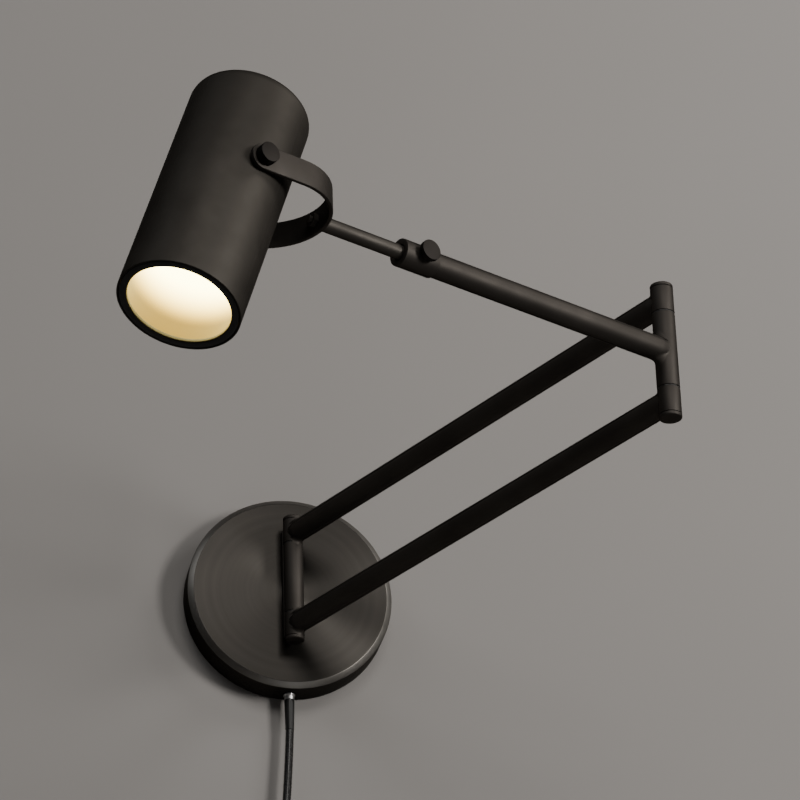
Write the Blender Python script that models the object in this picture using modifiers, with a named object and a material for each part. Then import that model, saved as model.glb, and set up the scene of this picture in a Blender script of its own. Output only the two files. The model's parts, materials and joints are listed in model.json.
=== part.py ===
"""Swing arm wall sconce: a round wall plate, a two-rail lower arm, an upper arm with a
telescoping rod, and a cylindrical shade that tilts in a U-shaped yoke. It is wired with a
mains cord that leaves the bottom of the plate.

The frame: the origin is the centre of the plate's wall side, the wall is the plane y = 0,
the lamp stands out towards -Y, +X is to the right and +Z is up. Lengths are in metres.
"""

import math

import bmesh
import bpy
from mathutils import Euler, Matrix, Vector

# General
GAP = 0.0003  # between pieces that touch
ROUND = 24  # sides of a tube or a barrel
FINE = 48  # sides of the plate and the shade
SMALL = 12  # sides of a screw, a washer or a small hole
BORE = 16  # sides of a bore

# Wall plate
PLATE_RADIUS = 0.0760
PLATE_DEPTH = 0.0236
PLATE_WALL = 0.0020
PLATE_BEVEL_WIDTH = 0.0043
PLATE_BEVEL_DEPTH = 0.0030
PLATE_SCREW_DEPTH = 0.0090  # the set screw's distance from the wall

# Wall bracket inside the plate
BRACKET_THICK = 0.0025
BRACKET_HALF_WIDTH = 0.0120
BRACKET_TOP = 0.0620
BRACKET_BOTTOM = -0.0724
BRACKET_HOLE_HEIGHT = 0.0360
BRACKET_HOLE_RADIUS = 0.0026
EAR_HALF_WIDTH = 0.0080
EAR_REACH = 0.0170
FOOT_REACH = 0.0140
FOOT_SLOT_HALF = 0.0058
FOOT_SLOT_HEIGHT = 0.0200

# Hinges. Heights are measured from the arm's centre height.
ARM_HEIGHT = 0.0040
WALL_PIN_DEPTH = 0.0371
WALL_BARREL_RADIUS = 0.0072
ELBOW_BARREL_RADIUS = 0.0076
PIN_RADIUS = 0.0030
PIN_BORE = 0.0033
KNUCKLE_HALF = 0.0273
WASHER_THICK = 0.0006
WASHER_CLEAR = 0.00025
BARREL_END = 0.0467
CAP_TOP = 0.0495
CAP_CHAMFER = 0.0008
LEAF_HALF_WIDTH = 0.0066
LEAF_FRONT = 0.0293
LEAF_HALF_HEIGHT = 0.0430
LEAF_WEB_HALF = 0.0040
LEAF_SCREW_OFFSET = 0.0300
LEAF_SCREW_HOLE_END = 0.0280
HINGE_SCREW = (0.0035, 0.0022, 0.0017, 0.0060)  # head radius and height, shank radius and length

# Arms
TUBE_RADIUS = 0.0081
TUBE_BORE = 0.0067
RAIL_OFFSET = 0.0364
LOWER_ANGLE = math.radians(63.9)  # from the wall's plane, to the right
LOWER_LENGTH = 0.4143  # pin to pin
UPPER_ANGLE = math.radians(27.0)  # from the wall's plane, to the left
RAIL_START = 0.0040  # a rail's tube starts this far from a pin's axis
UPPER_TUBE_START = 0.0030
WIRE_PASSAGE = 0.0022
PASSAGE_LENGTH = 0.0140
UPPER_TUBE_END = 0.2140

# Clamp at the end of the upper arm
COLLAR_RADIUS = 0.0091
COLLAR_START = 0.1960
COLLAR_END = 0.2220
COLLAR_CHAMFER = 0.0006
CLAMP_PLACE = 0.2072
CLAMP_HEAD_RADIUS = 0.0070
CLAMP_HEAD_INNER = 0.0109
CLAMP_HEAD_OUTER = 0.0145
CLAMP_SHANK_RADIUS = 0.0021
CLAMP_HOLE = 0.0024

# Rod and yoke
ROD_RADIUS = 0.0048
ROD_CLEAR = 0.0051
ROD_START = 0.1260
ROD_BORE = 0.0032
ROD_BORE_END = 0.2700
BUSH_START = 0.1300
BUSH_END = 0.1420
BUSH_RADIUS = 0.0064
STOP_RING_END = 0.1455
PIVOT_PLACE = 0.3562
YOKE_REACH = 0.0720
YOKE_HALF_SPAN = 0.0419
YOKE_THICK = 0.0025
YOKE_HALF_WIDTH = 0.0085
STUD_RADIUS = 0.0024
STUD_HOLE = 0.0027
STUD_END = 0.0060  # past the yoke's inner face
YOKE_NUT_RADIUS = 0.0046
YOKE_NUT_THICK = 0.0034

# Shade. Heights are along its own axis, from the tilt axis.
SHADE_TILT = math.radians(19.5)
SHADE_RADIUS = 0.0379
SHADE_WALL = 0.0012
SHADE_TOP = 0.0656
SHADE_MOUTH = -0.0986
SHADE_FILLET = 0.0070
RIM_INNER = 0.0317
RIM_THICK = 0.0028
REFLECTOR_THICK = 0.0008
NIPPLE_RADIUS = 0.0050
NIPPLE_BORE = 0.0034
SOCKET_RADIUS = 0.0170
SOCKET_INNER = 0.0142
SOCKET_TOP = 0.0500
SOCKET_MOUTH = 0.0120
BULB_BASE_RADIUS = 0.0130
BULB_BASE_TOP = 0.0465
BULB_BASE_BOTTOM = 0.0185
BULB_RADIUS = 0.0240
BULB_TIP = -0.0420
BULB_WALL = 0.0010

# Tilt pivots
KNOB_RADIUS = 0.0066
KNOB_OUTER = 0.0484
KNOB_CHAMFER = 0.0007
PIVOT_SHANK = 0.0022
PIVOT_HOLE = 0.0026
SHANK_END = 0.0325
PIVOT_WASHER_RADIUS = 0.0062
PIVOT_NUT_RADIUS = 0.0045
PIVOT_NUT_OUTER = 0.0358
PIVOT_NUT_INNER = 0.0320

# Cord
CORD_RADIUS = 0.0030
CORD_OUT = 0.0100  # the cord's distance from the wall where it leaves the plate
FERRULE_RADIUS = 0.0037
FERRULE_BORE = 0.0033
FERRULE_HOLE = 0.0040
FERRULE_END = -0.0806
RELIEF_START = -0.0690
RELIEF_END = -0.1040
SWITCH_PLACE = (-0.0045, -0.0115, -0.2044)
SWITCH_HALF_HEIGHT = 0.0278
SWITCH_HALF_WIDTH = 0.0110
SWITCH_HALF_DEPTH = 0.0085
ROCKER_ANGLE = math.radians(8.0)
COIL_CENTRE = (0.01455, -0.0085, -0.3120)
TURN_PITCH = 0.0061
TURN_RADIUS = 0.0340  # the mean radius of the turns, which lie four abreast in two layers
OUTER_TURN = TURN_RADIUS + 1.5 * TURN_PITCH
COIL_HALF_WIDTH = 2 * TURN_PITCH
COIL_HALF_DEPTH = TURN_PITCH
TIE_ANGLE = math.radians(172.0)
PLUG_NECK_TOP = -0.3520

# The cord's route from the strain relief to the switch, and from the switch to the coil
UPPER_ROUTE = (
    (0.0000, -0.0100, -0.1043),
    (-0.0005, -0.0101, -0.1150),
    (-0.0012, -0.0103, -0.1280),
    (-0.0021, -0.0106, -0.1420),
    (-0.0031, -0.0109, -0.1560),
    (-0.0041, -0.0113, -0.1680),
    (-0.0045, -0.0115, -0.1763),
)
MIDDLE_ROUTE = (
    (-0.0045, -0.0115, -0.2325),
    (-0.0058, -0.0112, -0.2420),
    (-0.0112, -0.0097, -0.2535),
    (-0.0187, -0.0078, -0.2640),
    (-0.0252, -0.0062, -0.2740),
    (-0.0282, -0.0055, -0.2820),
    (-0.0286, -0.00545, -0.2860),
)

BRONZE = (0.085, 0.075, 0.070)
DARK_BRONZE = (0.050, 0.045, 0.042)
STEEL = (0.55, 0.55, 0.56)
WHITE = (0.90, 0.88, 0.82)
BLACK = (0.02, 0.02, 0.02)
BRASS = (0.60, 0.45, 0.20)
GLASS = (0.98, 0.95, 0.88)
NYLON = (0.12, 0.12, 0.12)
COPPER_ORANGE = (0.55, 0.20, 0.05)


def clear_scene():
    for obj in list(bpy.data.objects):
        bpy.data.objects.remove(obj)


def new_collection(name):
    collection = bpy.data.collections.new(name)
    bpy.context.scene.collection.children.link(collection)
    return collection


def new_material(name, colour, metallic, roughness):
    material = bpy.data.materials.new(name)
    material.use_nodes = True
    shader = material.node_tree.nodes["Principled BSDF"]
    shader.inputs["Base Color"].default_value = (*colour, 1.0)
    shader.inputs["Metallic"].default_value = metallic
    shader.inputs["Roughness"].default_value = roughness
    return material


clear_scene()
PARTS = new_collection("swing_arm_wall_sconce")
CUTTERS = new_collection("cutters")


def new_frame(name, parent, place, turn):
    """An empty that holds the pieces of one moving body, on its joint's axis."""
    frame = bpy.data.objects.new(name, None)
    frame.empty_display_size = 0.02
    frame.parent = parent
    frame.location = place
    frame.rotation_euler = turn
    PARTS.objects.link(frame)
    return frame


def add_object(name, mesh, frame, turn=(0, 0, 0), place=(0, 0, 0)):
    obj = bpy.data.objects.new(name, mesh)
    obj.parent = frame
    obj.location = place
    obj.rotation_euler = turn
    PARTS.objects.link(obj)
    return obj


def finish_part(obj, colour, metallic, roughness):
    obj.data.materials.append(new_material(obj.name, colour, metallic, roughness))
    return obj


def make_cutter(obj):
    PARTS.objects.unlink(obj)
    CUTTERS.objects.link(obj)
    obj.hide_render = True
    obj.display_type = "WIRE"
    return obj


def combine(obj, other, operation):
    """Joins other to obj or cuts it from obj, by a Boolean modifier."""
    modifier = obj.modifiers.new(other.name, "BOOLEAN")
    modifier.operation = operation
    modifier.solver = "EXACT"
    modifier.object = make_cutter(other)


def mesh_from(name, bm):
    mesh = bpy.data.meshes.new(name)
    bm.to_mesh(mesh)
    bm.free()
    mesh.shade_smooth()
    mesh.set_sharp_from_angle(angle=math.radians(35))
    return mesh


def rod_between(name, start, end, radius, frame, sides=ROUND):
    """A closed cylinder from start to end."""
    start = Vector(start)
    run = Vector(end) - start
    bm = bmesh.new()
    bmesh.ops.create_cone(
        bm, cap_ends=True, segments=sides, radius1=radius, radius2=radius, depth=run.length
    )
    turn = run.to_track_quat("Z", "Y").to_matrix().to_4x4()
    bm.transform(Matrix.Translation(start + run / 2) @ turn)
    return add_object(name, mesh_from(name, bm), frame)


def block(name, low, high, frame, edge=0.0):
    """A closed box between two corners, with its edges bevelled if edge is over 0."""
    low = Vector(low)
    high = Vector(high)
    bm = bmesh.new()
    bmesh.ops.create_cube(bm, size=1.0)
    bmesh.ops.scale(bm, vec=high - low, verts=bm.verts)
    bmesh.ops.translate(bm, vec=(low + high) / 2, verts=bm.verts)
    if edge:
        bmesh.ops.bevel(
            bm, geom=bm.edges[:], offset=edge, segments=2, profile=0.5, affect="EDGES"
        )
    return add_object(name, mesh_from(name, bm), frame)


def turned(name, profile, frame, turn=(0, 0, 0), place=(0, 0, 0), steps=ROUND, ring=False):
    """A turned piece from (radius, height) points, listed from the top down its outer side."""
    mesh = bpy.data.meshes.new(name)
    edges = [(i, i + 1) for i in range(len(profile) - 1)]
    if ring:
        edges.append((len(profile) - 1, 0))
    mesh.from_pydata([(radius, 0.0, height) for radius, height in profile], edges, [])
    obj = add_object(name, mesh, frame, turn, place)
    screw = obj.modifiers.new("Screw", "SCREW")
    screw.axis = "Z"
    screw.angle = math.tau
    screw.steps = steps
    screw.render_steps = steps
    screw.use_merge_vertices = True
    screw.merge_threshold = 0.00001
    return obj


def sleeve(outer, inner, top, bottom):
    """The ring profile of a plain sleeve."""
    return [(outer, top), (outer, bottom), (inner, bottom), (inner, top)]


def arc(centre, radius, start, end, count):
    """Points on an arc, from the start angle to the end angle, in degrees."""
    points = []
    for i in range(count + 1):
        angle = math.radians(start + (end - start) * i / count)
        x = centre[0] + radius * math.cos(angle)
        y = centre[1] + radius * math.sin(angle)
        points.append((x, y))
    return points


def smooth_route(points, spacing):
    """Points a given distance apart on a Catmull-Rom curve through the route's points."""
    route = [Vector(p) for p in points]
    route = [2 * route[0] - route[1], *route, 2 * route[-1] - route[-2]]
    dense = []
    for before, start, end, after in zip(route, route[1:], route[2:], route[3:]):
        for i in range(20):
            t = i / 20
            bend = 2 * before - 5 * start + 4 * end - after
            twist = 3 * start - before - 3 * end + after
            dense.append((2 * start + (end - before) * t + bend * t**2 + twist * t**3) / 2)
    dense.append(route[-2])
    length = sum((b - a).length for a, b in zip(dense, dense[1:]))
    count = max(2, round(length / spacing))
    kept = [dense[0]]
    walked = 0.0
    for a, b in zip(dense, dense[1:]):
        walked += (b - a).length
        if walked >= length * len(kept) / count and len(kept) < count:
            kept.append(b)
    kept.append(dense[-1])
    return kept


def wire(name, points, radius, frame):
    """A plain tube along a list of points."""
    curve = bpy.data.curves.new(name, "CURVE")
    curve.dimensions = "3D"
    curve.bevel_depth = radius
    curve.bevel_resolution = 2
    curve.use_fill_caps = True
    spline = curve.splines.new("POLY")
    spline.points.add(len(points) - 1)
    for point, place in zip(spline.points, points):
        point.co = (*place, 1.0)
    return add_object(name, curve, frame)


def outline_solid(name, points, half, frame):
    """A flat outline in the frame's x and y, made a solid of thickness 2 * half along z."""
    curve = bpy.data.curves.new(name, "CURVE")
    curve.dimensions = "2D"
    curve.fill_mode = "BOTH"
    curve.extrude = half
    spline = curve.splines.new("POLY")
    spline.points.add(len(points) - 1)
    for point, (x, y) in zip(spline.points, points):
        point.co = (x, y, 0.0, 1.0)
    spline.use_cyclic_u = True
    obj = add_object(name, curve, frame)
    bpy.context.view_layer.update()
    graph = bpy.context.evaluated_depsgraph_get()
    mesh = bpy.data.meshes.new_from_object(obj.evaluated_get(graph))
    bm = bmesh.new()
    bm.from_mesh(mesh)
    bmesh.ops.remove_doubles(bm, verts=bm.verts, dist=0.00001)
    bmesh.ops.recalc_face_normals(bm, faces=bm.faces)
    bm.to_mesh(mesh)
    bm.free()
    solid = add_object(name + "_solid", mesh, frame)
    bpy.data.objects.remove(obj)
    solid.name = name
    return solid


def hex_nut(name, start, end, radius, bore, frame):
    """A hexagon nut from start to end."""
    nut = rod_between(name, start, end, radius, frame, 6)
    run = Vector(end) - Vector(start)
    hole = rod_between(
        f"{name}_bore", Vector(start) - run, Vector(end) + run, bore, frame, SMALL
    )
    combine(nut, hole, "DIFFERENCE")
    finish_part(nut, STEEL, 1.0, 0.35)


# The frames of the bodies. Each one's origin is on its joint's axis.
OUTWARD = (math.pi / 2, 0, 0)  # turns a piece's own z towards -Y, away from the wall
SIDEWAYS = (-math.pi / 2, 0, 0)  # turns a piece's own z towards +Y
ALONG = (0, math.pi / 2, 0)  # turns a piece's own z along the arm
ROOT = new_frame("backplate_frame", None, (0, 0, 0), (0, 0, 0))
HINGE = new_frame("wall_hinge_frame", ROOT, (0, -WALL_PIN_DEPTH, ARM_HEIGHT), (0, 0, 0))
LOWER = new_frame("lower_arm_frame", HINGE, (0, 0, 0), (0, 0, -LOWER_ANGLE))
UPPER = new_frame(
    "upper_arm_frame",
    LOWER,
    (LOWER_LENGTH, 0, 0),
    (0, 0, math.pi + UPPER_ANGLE + LOWER_ANGLE),
)
CLAMP = new_frame("clamp_screw_frame", UPPER, (CLAMP_PLACE, 0, 0), (0, 0, 0))
TILT = new_frame("shade_frame", UPPER, (PIVOT_PLACE, 0, 0), (0, -SHADE_TILT, 0))
YOKE = new_frame("yoke_frame", UPPER, (PIVOT_PLACE, 0, 0), (0, 0, 0))


def canopy():
    """The dished wall plate, open at the wall."""
    face = PLATE_RADIUS - PLATE_BEVEL_WIDTH
    inner = PLATE_RADIUS - PLATE_WALL
    profile = [
        (0.0, PLATE_DEPTH),
        (face, PLATE_DEPTH),
        (PLATE_RADIUS, PLATE_DEPTH - PLATE_BEVEL_DEPTH),
        (PLATE_RADIUS, 0.0),
        (inner, 0.0),
        (inner, PLATE_DEPTH - PLATE_BEVEL_DEPTH - PLATE_WALL / 2),
        (face - PLATE_WALL / 2, PLATE_DEPTH - PLATE_WALL),
        (0.0, PLATE_DEPTH - PLATE_WALL),
    ]
    plate = turned("canopy", profile, ROOT, OUTWARD, steps=FINE)
    front = -PLATE_DEPTH - 0.002
    for side, height in (("upper", LEAF_SCREW_OFFSET), ("lower", -LEAF_SCREW_OFFSET)):
        z = ARM_HEIGHT + height
        hole = rod_between(
            f"leaf_screw_hole_{side}", (0, front, z), (0, -0.010, z), 0.0020, ROOT, SMALL
        )
        combine(plate, hole, "DIFFERENCE")
    lead = rod_between(
        "lead_hole", (0, front, ARM_HEIGHT), (0, -0.010, ARM_HEIGHT), 0.0030, ROOT, SMALL
    )
    combine(plate, lead, "DIFFERENCE")
    top = rod_between(
        "set_screw_hole",
        (0, -PLATE_SCREW_DEPTH, 0.070),
        (0, -PLATE_SCREW_DEPTH, 0.080),
        0.0021,
        ROOT,
        SMALL,
    )
    combine(plate, top, "DIFFERENCE")
    exit_hole = rod_between(
        "cord_hole", (0, -CORD_OUT, -0.070), (0, -CORD_OUT, -0.080), FERRULE_HOLE, ROOT, SMALL
    )
    combine(plate, exit_hole, "DIFFERENCE")
    finish_part(plate, BRONZE, 1.0, 0.38)


def wall_bracket():
    """The steel strap that is screwed to the wall and that the plate hangs on."""
    half = BRACKET_HALF_WIDTH
    strap = block(
        "wall_bracket", (-half, -BRACKET_THICK, BRACKET_BOTTOM), (half, 0, BRACKET_TOP), ROOT
    )
    ear = block(
        "bracket_ear",
        (-EAR_HALF_WIDTH, -EAR_REACH, BRACKET_TOP - BRACKET_THICK),
        (EAR_HALF_WIDTH, -BRACKET_THICK / 2, BRACKET_TOP - 0.00001),
        ROOT,
    )
    combine(strap, ear, "UNION")
    foot = block(
        "bracket_foot",
        (-half + 0.00001, -FOOT_REACH, BRACKET_BOTTOM + 0.00001),
        (half - 0.00001, -BRACKET_THICK / 2, BRACKET_BOTTOM + BRACKET_THICK),
        ROOT,
    )
    combine(strap, foot, "UNION")
    slot = block(
        "bracket_slot",
        (-FOOT_SLOT_HALF, -0.020, BRACKET_BOTTOM - 0.002),
        (FOOT_SLOT_HALF, 0.002, BRACKET_BOTTOM + FOOT_SLOT_HEIGHT),
        ROOT,
    )
    combine(strap, slot, "DIFFERENCE")
    for side, z in (("upper", BRACKET_HOLE_HEIGHT), ("lower", -BRACKET_HOLE_HEIGHT)):
        hole = rod_between(
            f"wall_screw_hole_{side}",
            (0, -0.005, z),
            (0, 0.002, z),
            BRACKET_HOLE_RADIUS,
            ROOT,
            SMALL,
        )
        combine(strap, hole, "DIFFERENCE")
    thread = rod_between(
        "set_screw_thread",
        (0, -PLATE_SCREW_DEPTH, BRACKET_TOP - 0.006),
        (0, -PLATE_SCREW_DEPTH, BRACKET_TOP + 0.002),
        0.0021,
        ROOT,
        SMALL,
    )
    combine(strap, thread, "DIFFERENCE")
    finish_part(strap, STEEL, 1.0, 0.45)


def screw(name, frame, place, turn, head_radius, head_height, shank_radius, length, colour):
    """A pan head screw. Its own z is up out of the head, and the head's seat is at z = 0."""
    rim = head_radius * 0.75
    profile = [
        (0.0, head_height),
        (rim, head_height),
        (head_radius, head_height * 0.45),
        (head_radius, 0.0),
        (shank_radius, 0.0),
        (shank_radius, -length),
        (0.0, -length),
    ]
    obj = turned(name, profile, frame, turn, place, SMALL)
    finish_part(obj, colour, 1.0, 0.35)


def canopy_screw():
    place = (0, -PLATE_SCREW_DEPTH, PLATE_RADIUS + GAP)
    screw("canopy_screw", ROOT, place, (0, 0, 0), 0.0034, 0.0020, 0.0018, 0.0185, BRONZE)


def hinge_leaf():
    """The flat bar on the plate that carries the fixed middle knuckle."""
    leaf = block(
        "hinge_leaf",
        (-LEAF_HALF_WIDTH, WALL_PIN_DEPTH - LEAF_FRONT, -LEAF_HALF_HEIGHT),
        (LEAF_HALF_WIDTH, WALL_PIN_DEPTH - PLATE_DEPTH - GAP, LEAF_HALF_HEIGHT),
        HINGE,
    )
    web = block(
        "leaf_web",
        (-LEAF_WEB_HALF, 0, -KNUCKLE_HALF + 0.0008),
        (LEAF_WEB_HALF, WALL_PIN_DEPTH - LEAF_FRONT + 0.001, KNUCKLE_HALF - 0.0008),
        HINGE,
    )
    combine(leaf, web, "UNION")
    knuckle = rod_between(
        "wall_knuckle", (0, 0, -KNUCKLE_HALF), (0, 0, KNUCKLE_HALF), WALL_BARREL_RADIUS, HINGE
    )
    combine(leaf, knuckle, "UNION")
    bore = rod_between(
        "wall_knuckle_bore", (0, 0, -0.05), (0, 0, 0.05), PIN_BORE, HINGE, SMALL
    )
    combine(leaf, bore, "DIFFERENCE")
    back = WALL_PIN_DEPTH - PLATE_DEPTH + 0.002
    for side, z in (("upper", LEAF_SCREW_OFFSET), ("lower", -LEAF_SCREW_OFFSET)):
        hole = rod_between(
            f"leaf_thread_{side}",
            (0, WALL_PIN_DEPTH - LEAF_SCREW_HOLE_END, z),
            (0, back, z),
            0.0020,
            HINGE,
            SMALL,
        )
        combine(leaf, hole, "DIFFERENCE")
    passage = rod_between("leaf_lead_hole", (0, 0, 0), (0, back, 0), 0.0026, HINGE, SMALL)
    combine(leaf, passage, "DIFFERENCE")
    finish_part(leaf, BRONZE, 1.0, 0.36)


def hinge_screws():
    """Hold the leaf from inside the plate."""
    seat = PLATE_DEPTH - PLATE_WALL - GAP
    for side, height in (("upper", LEAF_SCREW_OFFSET), ("lower", -LEAF_SCREW_OFFSET)):
        place = (0, -seat, ARM_HEIGHT + height)
        screw(f"hinge_screw_{side}", ROOT, place, SIDEWAYS, *HINGE_SCREW, STEEL)


def hinge_pins():
    for name, frame in (("wall_pin", HINGE), ("elbow_pin", LOWER)):
        x = 0 if frame is HINGE else LOWER_LENGTH
        end = BARREL_END - GAP
        pin = rod_between(name, (x, 0, -end), (x, 0, end), PIN_RADIUS, frame, SMALL)
        finish_part(pin, STEEL, 1.0, 0.3)


def thrust_washers():
    """Thin washers between a hinge's middle knuckle and its outer barrels."""
    low = KNUCKLE_HALF + WASHER_CLEAR
    hinges = (
        ("wall", HINGE, 0, WALL_BARREL_RADIUS),
        ("elbow", LOWER, LOWER_LENGTH, ELBOW_BARREL_RADIUS),
    )
    for hinge, frame, x, radius in hinges:
        for side, sign in (("upper", 1), ("lower", -1)):
            base = low if sign > 0 else -low - WASHER_THICK
            profile = sleeve(radius - GAP, PIN_BORE, WASHER_THICK, 0.0)
            name = f"{hinge}_washer_{side}"
            ring = turned(name, profile, frame, place=(x, 0, base), steps=SMALL, ring=True)
            finish_part(ring, NYLON, 0.0, 0.5)


def hinge_caps():
    """Plugs that close the ends of the outer barrels."""
    hinges = (("wall", 0, WALL_BARREL_RADIUS), ("elbow", LOWER_LENGTH, ELBOW_BARREL_RADIUS))
    height = CAP_TOP - BARREL_END - GAP
    for hinge, x, radius in hinges:
        profile = [
            (0.0, height),
            (radius - CAP_CHAMFER, height),
            (radius, height - CAP_CHAMFER),
            (radius, 0.0),
            (0.0, 0.0),
        ]
        for side, sign in (("top", 1), ("bottom", -1)):
            turn = (0, 0, 0) if sign > 0 else (math.pi, 0, 0)
            place = (x, 0, sign * (BARREL_END + GAP))
            cap = turned(f"{hinge}_cap_{side}", profile, LOWER, turn, place, ROUND)
            finish_part(cap, BRONZE, 1.0, 0.34)


def rails():
    """The lower arm's two tubes, each with a barrel at both ends."""
    start = KNUCKLE_HALF + 2 * WASHER_CLEAR + WASHER_THICK
    for side, sign in (("upper", 1), ("lower", -1)):
        z = sign * RAIL_OFFSET
        rail = rod_between(
            f"{side}_rail", (RAIL_START, 0, z), (LOWER_LENGTH - RAIL_START, 0, z), TUBE_RADIUS, LOWER
        )
        for end, x, radius in (
            ("wall", 0, WALL_BARREL_RADIUS),
            ("elbow", LOWER_LENGTH, ELBOW_BARREL_RADIUS),
        ):
            barrel = rod_between(
                f"{side}_{end}_barrel",
                (x, 0, sign * start),
                (x, 0, sign * BARREL_END),
                radius,
                LOWER,
            )
            combine(rail, barrel, "UNION")
            bore = rod_between(
                f"{side}_{end}_bore", (x, 0, sign * 0.02), (x, 0, sign * 0.05), PIN_BORE, LOWER, SMALL
            )
            combine(rail, bore, "DIFFERENCE")
        hollow = rod_between(
            f"{side}_rail_bore",
            (PASSAGE_LENGTH, 0, z),
            (LOWER_LENGTH - PASSAGE_LENGTH, 0, z),
            TUBE_BORE,
            LOWER,
            BORE,
        )
        combine(rail, hollow, "DIFFERENCE")
        passage = rod_between(
            f"{side}_rail_passage", (0, 0, z), (LOWER_LENGTH, 0, z), WIRE_PASSAGE, LOWER, 8
        )
        combine(rail, passage, "DIFFERENCE")
        finish_part(rail, BRONZE, 1.0, 0.33)


def arm_tube():
    """The upper arm: one tube welded to the elbow's middle barrel."""
    tube = rod_between(
        "arm_tube", (UPPER_TUBE_START, 0, 0), (UPPER_TUBE_END, 0, 0), TUBE_RADIUS, UPPER
    )
    barrel = rod_between(
        "elbow_knuckle", (0, 0, -KNUCKLE_HALF), (0, 0, KNUCKLE_HALF), ELBOW_BARREL_RADIUS, UPPER
    )
    combine(tube, barrel, "UNION")
    bore = rod_between("elbow_knuckle_bore", (0, 0, -0.05), (0, 0, 0.05), PIN_BORE, UPPER, SMALL)
    combine(tube, bore, "DIFFERENCE")
    hollow = rod_between(
        "arm_tube_bore",
        (PASSAGE_LENGTH, 0, 0),
        (UPPER_TUBE_END + 0.005, 0, 0),
        TUBE_BORE,
        UPPER,
        BORE,
    )
    combine(tube, hollow, "DIFFERENCE")
    passage = rod_between("arm_tube_passage", (0, 0, 0), (0.02, 0, 0), WIRE_PASSAGE, UPPER, 8)
    combine(tube, passage, "DIFFERENCE")
    hole = rod_between("arm_tube_clamp_hole", (0, 0.002, 0), (0, 0.02, 0), CLAMP_HOLE, CLAMP, SMALL)
    combine(tube, hole, "DIFFERENCE")
    finish_part(tube, BRONZE, 1.0, 0.33)


def clamp_collar():
    """The sleeve on the upper arm's end that the rod comes out of."""
    over = TUBE_RADIUS + GAP
    step = UPPER_TUBE_END + GAP
    profile = [
        (COLLAR_RADIUS - COLLAR_CHAMFER, COLLAR_END),
        (COLLAR_RADIUS, COLLAR_END - COLLAR_CHAMFER),
        (COLLAR_RADIUS, COLLAR_START),
        (over, COLLAR_START),
        (over, step),
        (ROD_CLEAR, step),
        (ROD_CLEAR, COLLAR_END),
    ]
    collar = turned("clamp_collar", profile, UPPER, ALONG, steps=ROUND, ring=True)
    hole = rod_between("collar_clamp_hole", (0, 0.002, 0), (0, 0.02, 0), CLAMP_HOLE, CLAMP, SMALL)
    combine(collar, hole, "DIFFERENCE")
    finish_part(collar, BRONZE, 1.0, 0.33)


def clamp_screw():
    """The thumb screw that locks the rod. It turns about its own axis."""
    chamfer = KNOB_CHAMFER
    profile = [
        (0.0, CLAMP_HEAD_OUTER),
        (CLAMP_HEAD_RADIUS - chamfer, CLAMP_HEAD_OUTER),
        (CLAMP_HEAD_RADIUS, CLAMP_HEAD_OUTER - chamfer),
        (CLAMP_HEAD_RADIUS, CLAMP_HEAD_INNER + chamfer),
        (CLAMP_HEAD_RADIUS - chamfer, CLAMP_HEAD_INNER),
        (CLAMP_SHANK_RADIUS, CLAMP_HEAD_INNER),
        (CLAMP_SHANK_RADIUS, ROD_RADIUS + GAP),
        (0.0, ROD_RADIUS + GAP),
    ]
    obj = turned("clamp_screw", profile, CLAMP, SIDEWAYS, steps=20)
    finish_part(obj, DARK_BRONZE, 1.0, 0.4)


def guide_bush():
    """The nylon bush on the rod's inner end. It slides in the tube, and the rod turns in it."""
    profile = sleeve(BUSH_RADIUS, ROD_CLEAR, BUSH_END, BUSH_START)
    bush = turned("guide_bush", profile, UPPER, ALONG, steps=20, ring=True)
    finish_part(bush, NYLON, 0.0, 0.5)


def rod():
    """The telescoping rod, with a head behind the bush and a stud for the yoke."""
    apex = PIVOT_PLACE - YOKE_REACH
    stud_end = apex + YOKE_THICK + STUD_END
    profile = [
        (0.0, stud_end),
        (STUD_RADIUS, stud_end),
        (STUD_RADIUS, apex - GAP),
        (ROD_RADIUS, apex - GAP),
        (ROD_RADIUS, BUSH_START - GAP),
        (BUSH_RADIUS - 0.0002, BUSH_START - GAP),
        (BUSH_RADIUS - 0.0002, ROD_START),
        (ROD_BORE, ROD_START),
        (ROD_BORE, ROD_BORE_END),
        (0.0, ROD_BORE_END),
    ]
    obj = turned("rod", profile, UPPER, ALONG, steps=20)
    finish_part(obj, BRONZE, 1.0, 0.3)
    ring_profile = sleeve(BUSH_RADIUS - 0.0002, ROD_CLEAR, STOP_RING_END, BUSH_END + GAP)
    ring = turned("rod_stop_ring", ring_profile, UPPER, ALONG, steps=20, ring=True)
    finish_part(ring, STEEL, 1.0, 0.35)


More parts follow.
